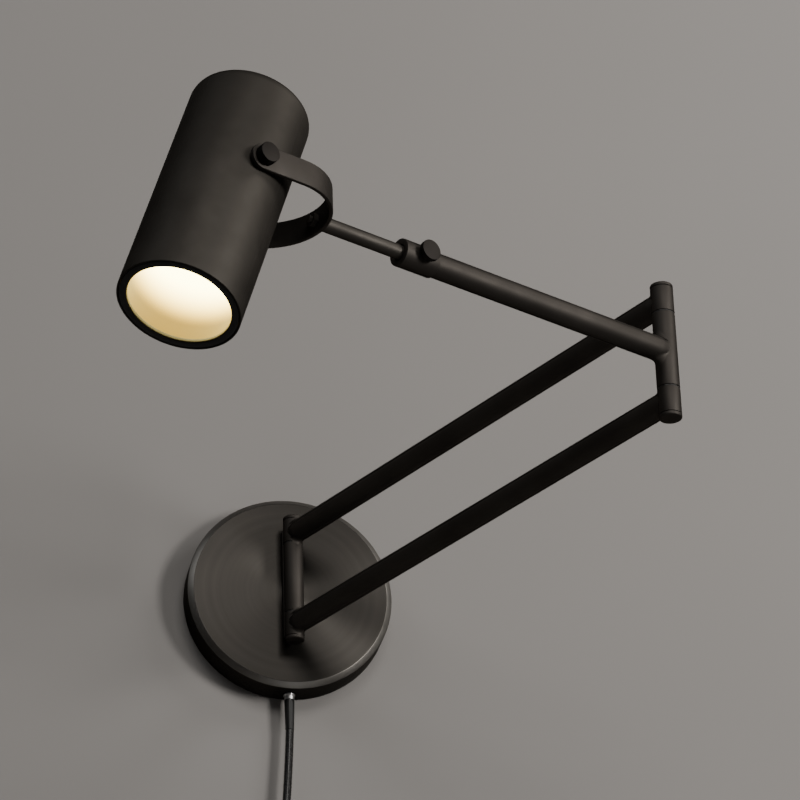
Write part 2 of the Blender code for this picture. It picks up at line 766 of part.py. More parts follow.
def yoke():
    """The U-shaped strap that carries the shade between its legs."""
    outer = YOKE_HALF_SPAN
    inner = YOKE_HALF_SPAN - YOKE_THICK
    bend = -YOKE_REACH + YOKE_HALF_SPAN
    tip = YOKE_HALF_WIDTH
    outline = [(tip, outer)]
    outline += arc((bend, 0.0), outer, 90, 270, 20)
    outline += [(tip, -outer), (tip, -inner)]
    outline += arc((bend, 0.0), inner, 270, 90, 20)
    outline += [(tip, inner)]
    strap = outline_solid("yoke", outline, YOKE_HALF_WIDTH, YOKE)
    side = block(
        "yoke_side",
        (-YOKE_REACH - 0.005, -0.05, -YOKE_HALF_WIDTH - 0.001),
        (0, 0.05, YOKE_HALF_WIDTH + 0.001),
        YOKE,
    )
    tip_round = rod_between(
        "yoke_tip", (0, -0.05, 0), (0, 0.05, 0), YOKE_HALF_WIDTH - 0.00001, YOKE
    )
    combine(side, tip_round, "UNION")
    combine(strap, side, "INTERSECT")
    pivots = rod_between("yoke_pivot_holes", (0, -0.05, 0), (0, 0.05, 0), PIVOT_HOLE, YOKE, SMALL)
    combine(strap, pivots, "DIFFERENCE")
    stud = rod_between(
        "yoke_stud_hole",
        (-YOKE_REACH - 0.005, 0, 0),
        (-YOKE_REACH + 0.010, 0, 0),
        STUD_HOLE,
        YOKE,
        SMALL,
    )
    combine(strap, stud, "DIFFERENCE")
    finish_part(strap, BRONZE, 1.0, 0.36)


def yoke_nut():
    """The hexagon nut on the rod's stud, inside the yoke."""
    face = PIVOT_PLACE - YOKE_REACH + YOKE_THICK + 2 * GAP
    end = (face + YOKE_NUT_THICK, 0, 0)
    hex_nut("yoke_nut", (face, 0, 0), end, YOKE_NUT_RADIUS, STUD_HOLE, UPPER)


def shade_shell():
    """The spun cylinder, closed at the top and open at the mouth."""
    outer = SHADE_RADIUS
    inner = SHADE_RADIUS - SHADE_WALL
    hole = NIPPLE_RADIUS + GAP
    corner = SHADE_FILLET
    outside = arc((outer - corner, SHADE_TOP - corner), corner, 90, 0, 4)
    inside = arc((outer - corner, SHADE_TOP - corner), corner - SHADE_WALL, 0, 90, 4)
    profile = [
        (hole, SHADE_TOP),
        *outside,
        (outer, SHADE_MOUTH),
        (inner, SHADE_MOUTH),
        *inside,
        (hole, SHADE_TOP - SHADE_WALL),
    ]
    shell = turned("shade_shell", profile, TILT, steps=FINE, ring=True)
    pivots = rod_between(
        "shade_pivot_holes", (0, -0.05, 0), (0, 0.05, 0), PIVOT_HOLE, TILT, SMALL
    )
    combine(shell, pivots, "DIFFERENCE")
    finish_part(shell, BRONZE, 1.0, 0.36)


def rim_ring():
    """The dark ring that holds the reflector at the shade's mouth."""
    outer = SHADE_RADIUS - SHADE_WALL - GAP
    low = SHADE_MOUTH + 0.0002
    high = low + RIM_THICK
    profile = [
        (outer, high),
        (outer, low),
        (RIM_INNER + 0.0006, low),
        (RIM_INNER, low + 0.0006),
        (RIM_INNER, high),
    ]
    ring = turned("rim_ring", profile, TILT, steps=FINE, ring=True)
    finish_part(ring, BLACK, 0.0, 0.5)


def reflector():
    """The white bell between the rim ring and the socket."""
    lip = SHADE_MOUTH + 0.0002 + RIM_THICK + GAP
    outside = [
        (0.0190, 0.0140),
        (0.0245, 0.0020),
        (0.0290, -0.0100),
        (0.0325, -0.0300),
        (0.0348, -0.0600),
        (0.0356, lip),
    ]
    inside = [(radius - REFLECTOR_THICK, height) for radius, height in reversed(outside)]
    bell = turned("reflector", outside + inside, TILT, steps=36, ring=True)
    finish_part(bell, WHITE, 0.0, 0.4)


def socket():
    """The lamp holder, its cap, and the nipple and nut that hold it to the shade's top."""
    shell_profile = [
        (SOCKET_RADIUS, SOCKET_TOP),
        (SOCKET_RADIUS, SOCKET_MOUTH),
        (SOCKET_INNER, SOCKET_MOUTH),
        (SOCKET_INNER, SOCKET_TOP - 0.0025),
        (0.0030, SOCKET_TOP - 0.0025),
        (0.0030, SOCKET_TOP),
    ]
    shell = turned("socket_shell", shell_profile, TILT, steps=20, ring=True)
    finish_part(shell, BLACK, 0.0, 0.45)
    cap_top = SHADE_TOP - SHADE_WALL - GAP
    hole = NIPPLE_RADIUS + GAP
    cap_profile = [
        (0.0100, cap_top),
        (0.0145, cap_top - 0.0040),
        (SOCKET_RADIUS, SOCKET_TOP + 0.0050),
        (SOCKET_RADIUS, SOCKET_TOP + GAP),
        (hole, SOCKET_TOP + GAP),
        (hole, cap_top),
    ]
    cap = turned("socket_cap", cap_profile, TILT, steps=20, ring=True)
    finish_part(cap, BLACK, 0.0, 0.45)
    nipple_profile = sleeve(NIPPLE_RADIUS, NIPPLE_BORE, SHADE_TOP + 0.0050, SOCKET_TOP + 0.0010)
    nipple = turned("socket_nipple", nipple_profile, TILT, steps=SMALL, ring=True)
    finish_part(nipple, BRASS, 1.0, 0.3)
    low = SHADE_TOP + GAP
    nut_profile = [
        (0.0080, low + 0.0036),
        (0.0088, low + 0.0028),
        (0.0088, low),
        (hole, low),
        (hole, low + 0.0036),
    ]
    nut = turned("top_nut", nut_profile, TILT, steps=20, ring=True)
    finish_part(nut, DARK_BRONZE, 1.0, 0.35)


def bulb():
    """The screw base and the frosted glass of the bulb."""
    wall = BULB_WALL
    base_profile = [
        (0.0, BULB_BASE_TOP),
        (0.0042, BULB_BASE_TOP),
        (0.0060, BULB_BASE_TOP - 0.0025),
        (BULB_BASE_RADIUS, BULB_BASE_TOP - 0.0060),
        (BULB_BASE_RADIUS, BULB_BASE_BOTTOM),
        (BULB_BASE_RADIUS - wall, BULB_BASE_BOTTOM),
        (BULB_BASE_RADIUS - wall, BULB_BASE_TOP - 0.0065),
        (0.0, BULB_BASE_TOP - 0.0065),
    ]
    base = turned("bulb_base", base_profile, TILT, steps=20)
    finish_part(base, STEEL, 1.0, 0.3)
    neck = 0.0124
    top = BULB_BASE_BOTTOM - GAP
    centre = (0.0, BULB_TIP + BULB_RADIUS)
    outside = [(neck, top), (neck, 0.0100), (0.0150, 0.0020)]
    outside += arc(centre, BULB_RADIUS, 40, -90, 6)
    inside = arc(centre, BULB_RADIUS - wall, -90, 40, 6)
    inside += [(0.0150 - wall, 0.0015), (neck - wall, 0.0100), (neck - wall, top)]
    outside[-1] = (0.0, BULB_TIP)
    inside[0] = (0.0, BULB_TIP + wall)
    glass = turned("bulb_glass", inside + outside, TILT, steps=ROUND)
    finish_part(glass, GLASS, 0.0, 0.3)


def pivots():
    """The knob, washer and nut on each side of the shade."""
    face = YOKE_HALF_SPAN + GAP
    edge = KNOB_CHAMFER
    knob_profile = [
        (0.0, KNOB_OUTER),
        (KNOB_RADIUS - edge, KNOB_OUTER),
        (KNOB_RADIUS, KNOB_OUTER - edge),
        (KNOB_RADIUS, face + edge),
        (KNOB_RADIUS - edge, face),
        (PIVOT_SHANK, face),
        (PIVOT_SHANK, SHANK_END),
        (0.0, SHANK_END),
    ]
    washer_top = YOKE_HALF_SPAN - YOKE_THICK - GAP
    washer_profile = sleeve(PIVOT_WASHER_RADIUS, PIVOT_HOLE, washer_top, SHADE_RADIUS + GAP)
    nut_profile = sleeve(PIVOT_NUT_RADIUS, PIVOT_SHANK + GAP, PIVOT_NUT_OUTER, PIVOT_NUT_INNER)
    for side, turn in (("near", SIDEWAYS), ("far", OUTWARD)):
        knob = turned(f"pivot_knob_{side}", knob_profile, YOKE, turn, steps=20)
        finish_part(knob, DARK_BRONZE, 1.0, 0.38)
        washer = turned(
            f"pivot_washer_{side}", washer_profile, TILT, turn, steps=SMALL, ring=True
        )
        finish_part(washer, NYLON, 0.0, 0.5)
        nut = turned(f"pivot_nut_{side}", nut_profile, TILT, turn, steps=SMALL, ring=True)
        finish_part(nut, STEEL, 1.0, 0.35)


def cord_outlet():
    """The metal ferrule in the plate's rim, its nut, and the tapered strain relief."""
    place = (0, -CORD_OUT, 0)
    seat = -PLATE_RADIUS - GAP
    ferrule_profile = [
        (FERRULE_RADIUS, -0.0680),
        (FERRULE_RADIUS, seat),
        (0.0044, seat),
        (0.0044, seat - 0.0010),
        (FERRULE_RADIUS, seat - 0.0013),
        (FERRULE_RADIUS, FERRULE_END),
        (FERRULE_BORE, FERRULE_END),
        (FERRULE_BORE, -0.0680),
    ]
    ferrule = turned("cord_ferrule", ferrule_profile, ROOT, place=place, steps=20, ring=True)
    finish_part(ferrule, STEEL, 1.0, 0.25)
    top = (0, -CORD_OUT, -0.0704)
    low = (0, -CORD_OUT, -0.0732)
    hex_nut("ferrule_nut", top, low, 0.0058, FERRULE_HOLE, ROOT)
    relief_profile = [
        (0.0, RELIEF_START),
        (CORD_RADIUS, RELIEF_START),
        (CORD_RADIUS, FERRULE_END - GAP),
        (0.0037, FERRULE_END - GAP),
        (0.0036, -0.0880),
        (0.0032, RELIEF_END),
        (0.0, RELIEF_END),
    ]
    relief = turned("strain_relief", relief_profile, ROOT, place=place, steps=SMALL)
    finish_part(relief, BLACK, 0.0, 0.5)


def plate_wiring():
    """The leads and twist-on connectors behind the plate."""
    for side, x in (("left", -0.0300), ("right", 0.0300)):
        profile = [(0.0, 0.0180), (0.0030, 0.0180), (0.0048, 0.0030), (0.0048, 0.0), (0.0, 0.0)]
        place = (x, -0.0110, -0.0240)
        cap = turned(f"wire_connector_{side}", profile, ROOT, place=place, steps=12)
        finish_part(cap, COPPER_ORANGE, 0.0, 0.45)
    supply = [
        (0.0000, -0.0100, -0.0686),
        (0.0000, -0.0102, -0.0620),
        (-0.0060, -0.0110, -0.0500),
        (-0.0180, -0.0114, -0.0420),
        (-0.0270, -0.0112, -0.0340),
        (-0.0300, -0.0110, -0.0243),
    ]
    lamp = [
        (0.0300, -0.0110, -0.0243),
        (0.0280, -0.0112, -0.0340),
        (0.0200, -0.0120, -0.0360),
        (0.0130, -0.0130, -0.0260),
        (0.0080, -0.0130, -0.0080),
        (0.0030, -0.0145, 0.0030),
        (0.0000, -0.0190, 0.0040),
        (0.0000, -0.0290, 0.0040),
    ]
    for name, route in (("supply_lead", supply), ("lamp_lead", lamp)):
        lead = wire(name, smooth_route(route, 0.006), 0.0013, ROOT)
        finish_part(lead, BLACK, 0.0, 0.5)


def cord_run():
    """The cord's free lengths: down to the switch, on to the coil, and out to the plug."""
    left = COIL_CENTRE[0] - OUTER_TURN
    front = COIL_CENTRE[1] - TURN_PITCH / 2
    tail = [(left, front, COIL_CENTRE[2] - 0.0260), (left, front, PLUG_NECK_TOP + GAP)]
    spacing = 5 * CORD_RADIUS
    for name, route in (
        ("cord_upper", smooth_route(UPPER_ROUTE, spacing)),
        ("cord_middle", smooth_route(MIDDLE_ROUTE, spacing / 2)),
        ("cord_tail", tail),
    ):
        piece = wire(name, route, CORD_RADIUS, ROOT)
        finish_part(piece, BLACK, 0.0, 0.55)


def cord_coil():
    """The spare length, wound into a coil in a plane parallel to the wall, and its tie."""
    inner = TURN_RADIUS - COIL_HALF_WIDTH
    outer = TURN_RADIUS + COIL_HALF_WIDTH
    half = COIL_HALF_DEPTH
    corner = 0.0020
    profile = [
        (outer - corner, half),
        (outer, half - corner),
        (outer, -half + corner),
        (outer - corner, -half),
        (inner + corner, -half),
        (inner, -half + corner),
        (inner, half - corner),
        (inner + corner, half),
    ]
    coil = turned("cord_coil", profile, ROOT, OUTWARD, COIL_CENTRE, ROUND, ring=True)
    finish_part(coil, BLACK, 0.0, 0.55)
    frame = new_frame("tie_frame", ROOT, COIL_CENTRE, Euler((0, -TIE_ANGLE, 0)))
    clear = half + 0.0004
    thick = 0.0010
    low = inner - 0.0012
    high = outer + 0.0012
    tie = block(
        "cord_tie",
        (low - thick, -clear - thick, -0.0040),
        (high + thick, clear + thick, 0.0040),
        frame,
        edge=0.0006,
    )
    inside = block("tie_inside", (low, -clear, -0.006), (high, clear, 0.006), frame)
    combine(tie, inside, "DIFFERENCE")
    finish_part(tie, BLACK, 0.0, 0.6)


def cord_switch():
    """The in-line rocker switch: two halves of a case, and the rocker."""
    frame = new_frame("switch_frame", ROOT, SWITCH_PLACE, (0, 0, 0))
    wide = SWITCH_HALF_WIDTH
    deep = SWITCH_HALF_DEPTH
    tall = SWITCH_HALF_HEIGHT
    outline = []
    for centre, start in (
        ((wide - 0.006, tall - 0.006), 0),
        ((-wide + 0.006, tall - 0.006), 90),
        ((-wide + 0.006, -tall + 0.006), 180),
        ((wide - 0.006, -tall + 0.006), 270),
    ):
        outline += arc(centre, 0.006, start, start + 90, 4)
    half_thick = (deep - GAP / 2) / 2
    for side, sign in (("front", -1), ("back", 1)):
        case = outline_solid(f"switch_case_{side}", outline, half_thick, frame)
        case.rotation_euler = (math.pi / 2, 0, 0)
        case.location = (0, sign * (half_thick + GAP / 2), 0)
        if side == "front":
            pocket = block(
                "rocker_pocket", (-0.0051, -0.0120, -0.0092), (0.0051, -0.0024, 0.0092), frame
            )
            combine(case, pocket, "DIFFERENCE")
        finish_part(case, BLACK, 0.0, 0.45)
    rocker_frame = new_frame("rocker_frame", frame, (0, -0.0060, 0), (ROCKER_ANGLE, 0, 0))
    rocker = block(
        "switch_rocker", (-0.0046, -0.0040, -0.0082), (0.0046, 0.0022, 0.0082), rocker_frame, 0.0005
    )
    finish_part(rocker, BLACK, 0.0, 0.35)


def plug():
    """The two-blade mains plug, hanging on the cord's end."""
    x = COIL_CENTRE[0] - OUTER_TURN
    y = COIL_CENTRE[1] - TURN_PITCH / 2
    frame = new_frame("plug_frame", ROOT, (x, y, PLUG_NECK_TOP), (0, 0, 0))
    body = block("plug_body", (-0.0125, -0.0075, -0.0400), (0.0125, 0.0075, -0.0160), frame, 0.003)
    neck_profile = [
        (0.0, 0.0),
        (0.0036, 0.0),
        (0.0052, -0.0140),
        (0.0060, -0.0200),
        (0.0, -0.0200),
    ]
    neck = turned("plug_neck", neck_profile, frame, steps=SMALL)
    combine(body, neck, "UNION")
    finish_part(body, BLACK, 0.0, 0.45)
    for side, place in (("left", -0.00635), ("right", 0.00635)):
        slot = block(
            f"blade_slot_{side}",
            (place - 0.0011, -0.0035, -0.0410),
            (place + 0.0011, 0.0035, -0.0345),
            frame,
        )
        combine(body, slot, "DIFFERENCE")
        blade = block(
            f"plug_blade_{side}",
            (place - 0.00075, -0.0032, -0.0570),
            (place + 0.00075, 0.0032, -0.0350),
            frame,
            0.0003,
        )
        finish_part(blade, BRASS, 1.0, 0.25)


canopy()
wall_bracket()
canopy_screw()
hinge_leaf()
hinge_screws()
hinge_pins()
thrust_washers()
hinge_caps()
rails()
arm_tube()
clamp_collar()
clamp_screw()
guide_bush()
rod()
yoke()
yoke_nut()
shade_shell()
rim_ring()
reflector()
socket()
bulb()
pivots()
cord_outlet()
plate_wiring()
cord_run()
cord_coil()
cord_switch()
plug()
bpy.context.view_layer.update()
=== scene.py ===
"""The looks of the swing arm wall sconce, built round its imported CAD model.

Lengths are in metres. The origin is the centre of the plate's wall side, the lamp stands
out towards -Y, +X is to the right and +Z is up.
"""

import json
import math

import bmesh
import bpy
from mathutils import Matrix, Vector


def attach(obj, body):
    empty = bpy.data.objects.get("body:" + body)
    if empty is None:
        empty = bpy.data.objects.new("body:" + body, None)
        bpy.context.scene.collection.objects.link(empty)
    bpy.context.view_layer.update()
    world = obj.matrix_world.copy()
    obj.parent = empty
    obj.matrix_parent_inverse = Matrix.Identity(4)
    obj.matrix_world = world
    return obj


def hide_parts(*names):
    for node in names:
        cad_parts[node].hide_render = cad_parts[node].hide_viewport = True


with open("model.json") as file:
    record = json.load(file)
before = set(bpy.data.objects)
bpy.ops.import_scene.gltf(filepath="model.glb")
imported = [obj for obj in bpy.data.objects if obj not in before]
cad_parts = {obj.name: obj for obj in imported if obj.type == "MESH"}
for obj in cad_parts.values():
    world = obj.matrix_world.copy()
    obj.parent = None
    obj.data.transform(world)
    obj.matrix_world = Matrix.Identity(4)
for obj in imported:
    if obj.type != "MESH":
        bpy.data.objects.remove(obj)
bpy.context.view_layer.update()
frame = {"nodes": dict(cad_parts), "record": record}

# The bodies' frames, as in the CAD
LOWER_ANGLE = math.radians(63.9)
UPPER_ANGLE = math.radians(27.0)
SHADE_TILT = math.radians(19.5)
LOWER_LENGTH = 0.4143
PIVOT_PLACE = 0.3562
CLAMP_PLACE = 0.2072
HINGE_DEPTH = 0.0371
HINGE_HEIGHT = 0.0040
ROOT = Matrix.Identity(4)
HINGE = Matrix.Translation((0, -HINGE_DEPTH, HINGE_HEIGHT))
LOWER = HINGE @ Matrix.Rotation(-LOWER_ANGLE, 4, "Z")
ELBOW_TURN = Matrix.Rotation(math.pi + UPPER_ANGLE + LOWER_ANGLE, 4, "Z")
UPPER = LOWER @ Matrix.Translation((LOWER_LENGTH, 0, 0)) @ ELBOW_TURN
CLAMP = UPPER @ Matrix.Translation((CLAMP_PLACE, 0, 0))
YOKE = UPPER @ Matrix.Translation((PIVOT_PLACE, 0, 0))
TILT = YOKE @ Matrix.Rotation(-SHADE_TILT, 4, "Y")
OUTWARD = Matrix.Rotation(math.pi / 2, 4, "X")  # own z towards -y
SIDEWAYS = Matrix.Rotation(-math.pi / 2, 4, "X")  # own z towards +y
ALONG = Matrix.Rotation(math.pi / 2, 4, "Y")  # own z towards +x
FLIP = Matrix.Rotation(math.pi, 4, "X")

# Sizes that more than one piece uses, from the CAD
TUBE_RADIUS = 0.0081
WALL_BARREL = 0.0072
ELBOW_BARREL = 0.0076
KNUCKLE_HALF = 0.0273
RAIL_LEVEL = 0.0364
YOKE_REACH = 0.0720
CORD_DEPTH = -0.0100

# Camera
CAMERA_PLACE = (-0.43624, -2.44902, -1.16156)
CAMERA_RIGHT = (0.98036, -0.19492, -0.03016)
CAMERA_FORWARD = (0.18588, 0.86190, 0.47178)
CAMERA_LENS = 167.0  # millimetres

# Wall and floor
WALL_GAP = 0.0006
WALL_HOLE = 0.0735
WALL_REACH = 6.0
FLOOR_LEVEL = -3.0
FLOOR_SIZE = 9.0

# Cord
CORD_RADIUS = 0.0030
COIL_CENTRE = (0.01455, -0.0085, -0.3120)
TURN_PITCH = 0.0061
TURN_RADIUS = 0.0340
TURNS = 7
COIL_STEPS = 28  # points in one turn
OUTER_TURN = TURN_RADIUS + 1.5 * TURN_PITCH
PLUG_PLACE = (COIL_CENTRE[0] - OUTER_TURN, COIL_CENTRE[1] - TURN_PITCH / 2, -0.3520)
SWITCH_PLACE = (-0.0045, -0.0115, -0.2044)
TIE_ANGLE = math.radians(172.0)
CORD_EXIT = (0.0, CORD_DEPTH, -0.1040)
ROUTE_DOWN = (
    (0.0000, CORD_DEPTH, -0.1043),
    (-0.0005, -0.0101, -0.1150),
    (-0.0012, -0.0103, -0.1280),
    (-0.0021, -0.0106, -0.1420),
    (-0.0031, -0.0109, -0.1560),
    (-0.0041, -0.0113, -0.1680),
    (-0.0045, -0.0115, -0.1763),
    (-0.0046, -0.0116, -0.1950),
    (-0.0045, -0.0116, -0.2140),
    (-0.0045, -0.0115, -0.2325),
    (-0.0058, -0.0112, -0.2420),
    (-0.0112, -0.0097, -0.2535),
    (-0.0187, -0.0078, -0.2640),
    (-0.0252, -0.0062, -0.2740),
    (-0.0282, -0.0055, -0.2820),
    (-0.0286, -0.00545, -0.2860),
    (-0.0286, -0.00545, -0.2990),
)
PLUG_RUN = (-0.3200, -0.3280, -0.3370, -0.3460)  # heights down the cord's last stretch


def add_object(name, data):
    obj = bpy.data.objects.new(name, data)
    bpy.context.scene.collection.objects.link(obj)
    return obj


def make_camera():
    data = bpy.data.cameras.new("camera")
    data.sensor_width = 36.0
    data.lens = CAMERA_LENS
    data.clip_start = 0.05
    data.clip_end = 60.0
    camera = add_object("camera", data)
    right = Vector(CAMERA_RIGHT).normalized()
    back = -Vector(CAMERA_FORWARD).normalized()
    up = back.cross(right).normalized()
    right = up.cross(back)
    turn = Matrix((right, up, back)).transposed().to_4x4()
    camera.matrix_world = Matrix.Translation(CAMERA_PLACE) @ turn
    bpy.context.scene.camera = camera


def catmull(points, spacing):
    """Points about a given distance apart on a smooth curve through the route's points."""
    route = [Vector(p) for p in points]
    route = [2 * route[0] - route[1], *route, 2 * route[-1] - route[-2]]
    kept = []
    for before, start, end, after in zip(route, route[1:], route[2:], route[3:]):
        count = max(1, round((end - start).length / spacing))
        for i in range(count):
            t = i / count
            bend = 2 * before - 5 * start + 4 * end - after
            twist = 3 * start - before - 3 * end + after
            kept.append((2 * start + (end - before) * t + bend * t**2 + twist * t**3) / 2)
    kept.append(route[-2])
    return kept


def ease(t):
    """Goes from 0 to 1 with a level start and end."""
    t = min(max(t, 0.0), 1.0)
    return t * t * (3 - 2 * t)


def coil_points():
    """Four turns winding inwards at the back, then on outwards in the front layer."""
    innermost = 3
    shift = 0.25  # the part of a turn in which the cord changes lane or layer
    points = []
    for i in range(1, TURNS * COIL_STEPS):
        turned = i / COIL_STEPS
        whole = int(turned)
        part = turned - whole
        if whole < innermost:
            lane = whole + ease((part - 0.75) / shift)
            layer = 0.0
        elif whole == innermost:
            lane = innermost
            layer = ease((part - 0.5) / shift)
        else:
            lane = TURNS - whole - ease((part - 0.25) / shift)
            layer = 1.0
        radius = OUTER_TURN - TURN_PITCH * lane
        angle = math.pi + math.tau * turned
        x = COIL_CENTRE[0] + radius * math.cos(angle)
        y = COIL_CENTRE[1] + TURN_PITCH * (0.5 - layer)
        z = COIL_CENTRE[2] + radius * math.sin(angle)
        points.append(Vector((x, y, z)))
    return points


def cord_points():
    """The whole cord, from the strain relief through the switch and the coil to the plug."""
    points = catmull(ROUTE_DOWN, 0.006)
    x = PLUG_PLACE[0]
    points.append(Vector((x, COIL_CENTRE[1] + TURN_PITCH / 2, COIL_CENTRE[2])))
    points += coil_points()
    front = PLUG_PLACE[1]
    in_plug = PLUG_PLACE[2] - 0.0060
    for z in (COIL_CENTRE[2], *PLUG_RUN, in_plug):
        points.append(Vector((x, front, z)))
    return points


# Mesh helpers

TINY = 1e-7


def soften(profile, size, steps, closed=False):
    """Rounds the corners of a (radius, height) line by about the given size."""
    share = 0.45  # of a side, so that the curves at its two ends stay apart
    straight = math.radians(12)
    count = len(profile)
    out = []
    for i, point in enumerate(profile):
        here = Vector(point)
        if not closed and i in (0, count - 1):
            out.append(tuple(here))
            continue
        before = Vector(profile[i - 1])
        after = Vector(profile[(i + 1) % count])
        back = before - here
        ahead = after - here
        doubled = back.length < TINY or ahead.length < TINY
        if doubled or back.angle(-ahead) < straight:
            out.append(tuple(here))
            continue
        reach = min(size, share * back.length, share * ahead.length)
        start = here + back.normalized() * reach
        end = here + ahead.normalized() * reach
        for k in range(steps + 1):
            t = k / steps
            out.append(tuple(start * (1 - t) ** 2 + here * 2 * t * (1 - t) + end * t**2))
    return out


def lathe(bm, profile, matrix, segments, ring=False):
    """Turns a (radius, height) line round the matrix's own z axis."""
    rings = []
    for radius, height in profile:
        if radius < TINY:
            rings.append([bm.verts.new(matrix @ Vector((0, 0, height)))])
            continue
        loop = []
        for k in range(segments):
            angle = math.tau * k / segments
            spot = Vector((radius * math.cos(angle), radius * math.sin(angle), height))
            loop.append(bm.verts.new(matrix @ spot))
        rings.append(loop)
    pairs = list(zip(rings, rings[1:]))
    if ring:
        pairs.append((rings[-1], rings[0]))
    for first, second in pairs:
        for k in range(segments):
            n = (k + 1) % segments
            corners = [first[k % len(first)], first[n % len(first)]]
            corners += [second[n % len(second)], second[k % len(second)]]
            unique = list(dict.fromkeys(corners))
            if len(unique) > 2:
                bm.faces.new(unique)


def loft(bm, loops, matrix, caps=True):
    """Joins closed loops of points, each with the same count, into one skin."""
    rings = [[bm.verts.new(matrix @ Vector(p)) for p in loop] for loop in loops]
    for first, second in zip(rings, rings[1:]):
        count = len(first)
        for k in range(count):
            n = (k + 1) % count
            bm.faces.new((first[k], first[n], second[n], second[k]))
    if caps:
        bm.faces.new(rings[0])
        bm.faces.new(rings[-1])


def slab(bm, low, high, matrix, edge, steps=3):
    """A box between two corners, with rounded edges."""
    low = Vector(low)
    high = Vector(high)
    made = bmesh.ops.create_cube(bm, size=1.0)
    verts = made["verts"]
    bmesh.ops.scale(bm, vec=high - low, verts=verts)
    bmesh.ops.translate(bm, vec=(low + high) / 2, verts=verts)
    edges = list(dict.fromkeys(e for v in verts for e in v.link_edges))
    made = bmesh.ops.bevel(
        bm, geom=verts + edges, offset=edge, segments=steps, profile=0.5, affect="EDGES"
    )
    bmesh.ops.transform(bm, matrix=matrix, verts=made["verts"])


def rounded_rect(wide, tall, corner, steps):
    """A closed outline of half sizes wide and tall."""
    points = []
    spots = ((1, 1, 0), (-1, 1, 90), (-1, -1, 180), (1, -1, 270))
    for sx, sy, start in spots:
        for k in range(steps + 1):
            angle = math.radians(start + 90 * k / steps)
            x = sx * (wide - corner) + corner * math.cos(angle)
            y = sy * (tall - corner) + corner * math.sin(angle)
            points.append((x, y))
    return points


def piece(name, bm, material, angle=32):
    """A finished mesh object. Edges sharper than the angle in degrees stay crisp."""
    bmesh.ops.recalc_face_normals(bm, faces=bm.faces)
    mesh = bpy.data.meshes.new(name)
    bm.to_mesh(mesh)
    bm.free()
    mesh.shade_smooth()
    mesh.set_sharp_from_angle(angle=math.radians(angle))
    mesh.materials.append(material)
    return add_object(name, mesh)


def place(obj, body, slot, *nodes):
    """Puts a piece on its body and hides the CAD nodes that it stands for. The slot is not used.
    """
    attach(obj, body)
    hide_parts(*nodes)
    return obj


# Materials


def scaled(tone, share):
    return tuple(c * share for c in tone)


class Shader:
    """A material's nodes, with short calls for the ones used here."""

    def __init__(self, name, colour, metallic, roughness):
        self.material = bpy.data.materials.new(name)
        self.material.use_nodes = True
        self.tree = self.material.node_tree
        self.main = self.tree.nodes["Principled BSDF"]
        self.set("Base Color", (*colour, 1.0))
        self.set("Metallic", metallic)
        self.set("Roughness", roughness)
        self.coords = self.node("ShaderNodeTexCoord").outputs["Object"]
        self.height = None

    def set(self, socket, value):
        self.main.inputs[socket].default_value = value

    def node(self, kind, **inputs):
        made = self.tree.nodes.new(kind)
        for key, value in inputs.items():
            socket = made.inputs[key]
            if isinstance(value, bpy.types.NodeSocket):
                self.tree.links.new(value, socket)
            else:
                socket.default_value = value
        return made

    def link(self, source, target):
        self.tree.links.new(source, target)

    def noise(self, scale, detail=3.0, vector=None):
        made = self.node(
            "ShaderNodeTexNoise", Vector=vector or self.coords, Scale=scale, Detail=detail
        )
        return made.outputs["Fac"]

    def line_noise(self, distance, scale, detail, roughness):
        """Noise along one number, such as the distance from a centre."""
        made = self.node("ShaderNodeTexNoise", Scale=scale, Detail=detail, Roughness=roughness)
        made.noise_dimensions = "1D"
        self.link(distance, made.inputs["W"])
        return made.outputs["Fac"]

    def spread(self, fac, low, high, start=0.3, end=0.7):
        """Maps a 0 to 1 value to a range."""
        made = self.node("ShaderNodeMapRange", Value=fac)
        made.inputs["From Min"].default_value = start
        made.inputs["From Max"].default_value = end
        made.inputs["To Min"].default_value = low
        made.inputs["To Max"].default_value = high
        return made.outputs["Result"]

    def colours(self, fac, stops):
        """Sets the base colour from (position, colour) stops along a 0 to 1 value."""
        ramp = self.node("ShaderNodeValToRGB", Fac=fac)
        elements = ramp.color_ramp.elements
        while len(elements) < len(stops):
            elements.new(0.5)
        for element, (position, colour) in zip(elements, stops):
            element.position = position
            element.color = (*colour, 1.0)
        self.link(ramp.outputs["Color"], self.main.inputs["Base Color"])

    def rough(self, value):
        self.link(value, self.main.inputs["Roughness"])

    def bump(self, value, distance, strength):
        """Adds a bump on top of the ones before it. The distance is in metres."""
        made = self.node("ShaderNodeBump", Height=value, Distance=distance, Strength=strength)
        if self.height is not None:
            self.link(self.height, made.inputs["Normal"])
        self.height = made.outputs["Normal"]
        self.link(self.height, self.main.inputs["Normal"])

    def stretched(self, scale):
        made = self.node("ShaderNodeMapping", Vector=self.coords)
        made.inputs["Scale"].default_value = scale
        return made.outputs["Vector"]


def satin_bronze(name, tone, roughness):
    """A dark bronze coat on metal: fine grain, faint blotches and a soft sheen."""
    shader = Shader(name, tone, 0.92, roughness)
    blotch = shader.noise(22.0, 4.0)
    stops = ((0.25, scaled(tone, 0.84)), (0.5, tone), (0.75, scaled(tone, 1.16)))
    shader.colours(blotch, stops)
    shader.set("Specular Tint", (0.18, 0.17, 0.16, 1.0))
    shader.rough(shader.spread(shader.noise(60.0, 5.0), roughness - 0.04, roughness + 0.05))
    shader.bump(shader.noise(2600.0, 2.0), 0.00003, 0.35)
    shader.bump(shader.noise(180.0, 2.0), 0.00005, 0.15)
    return shader.material


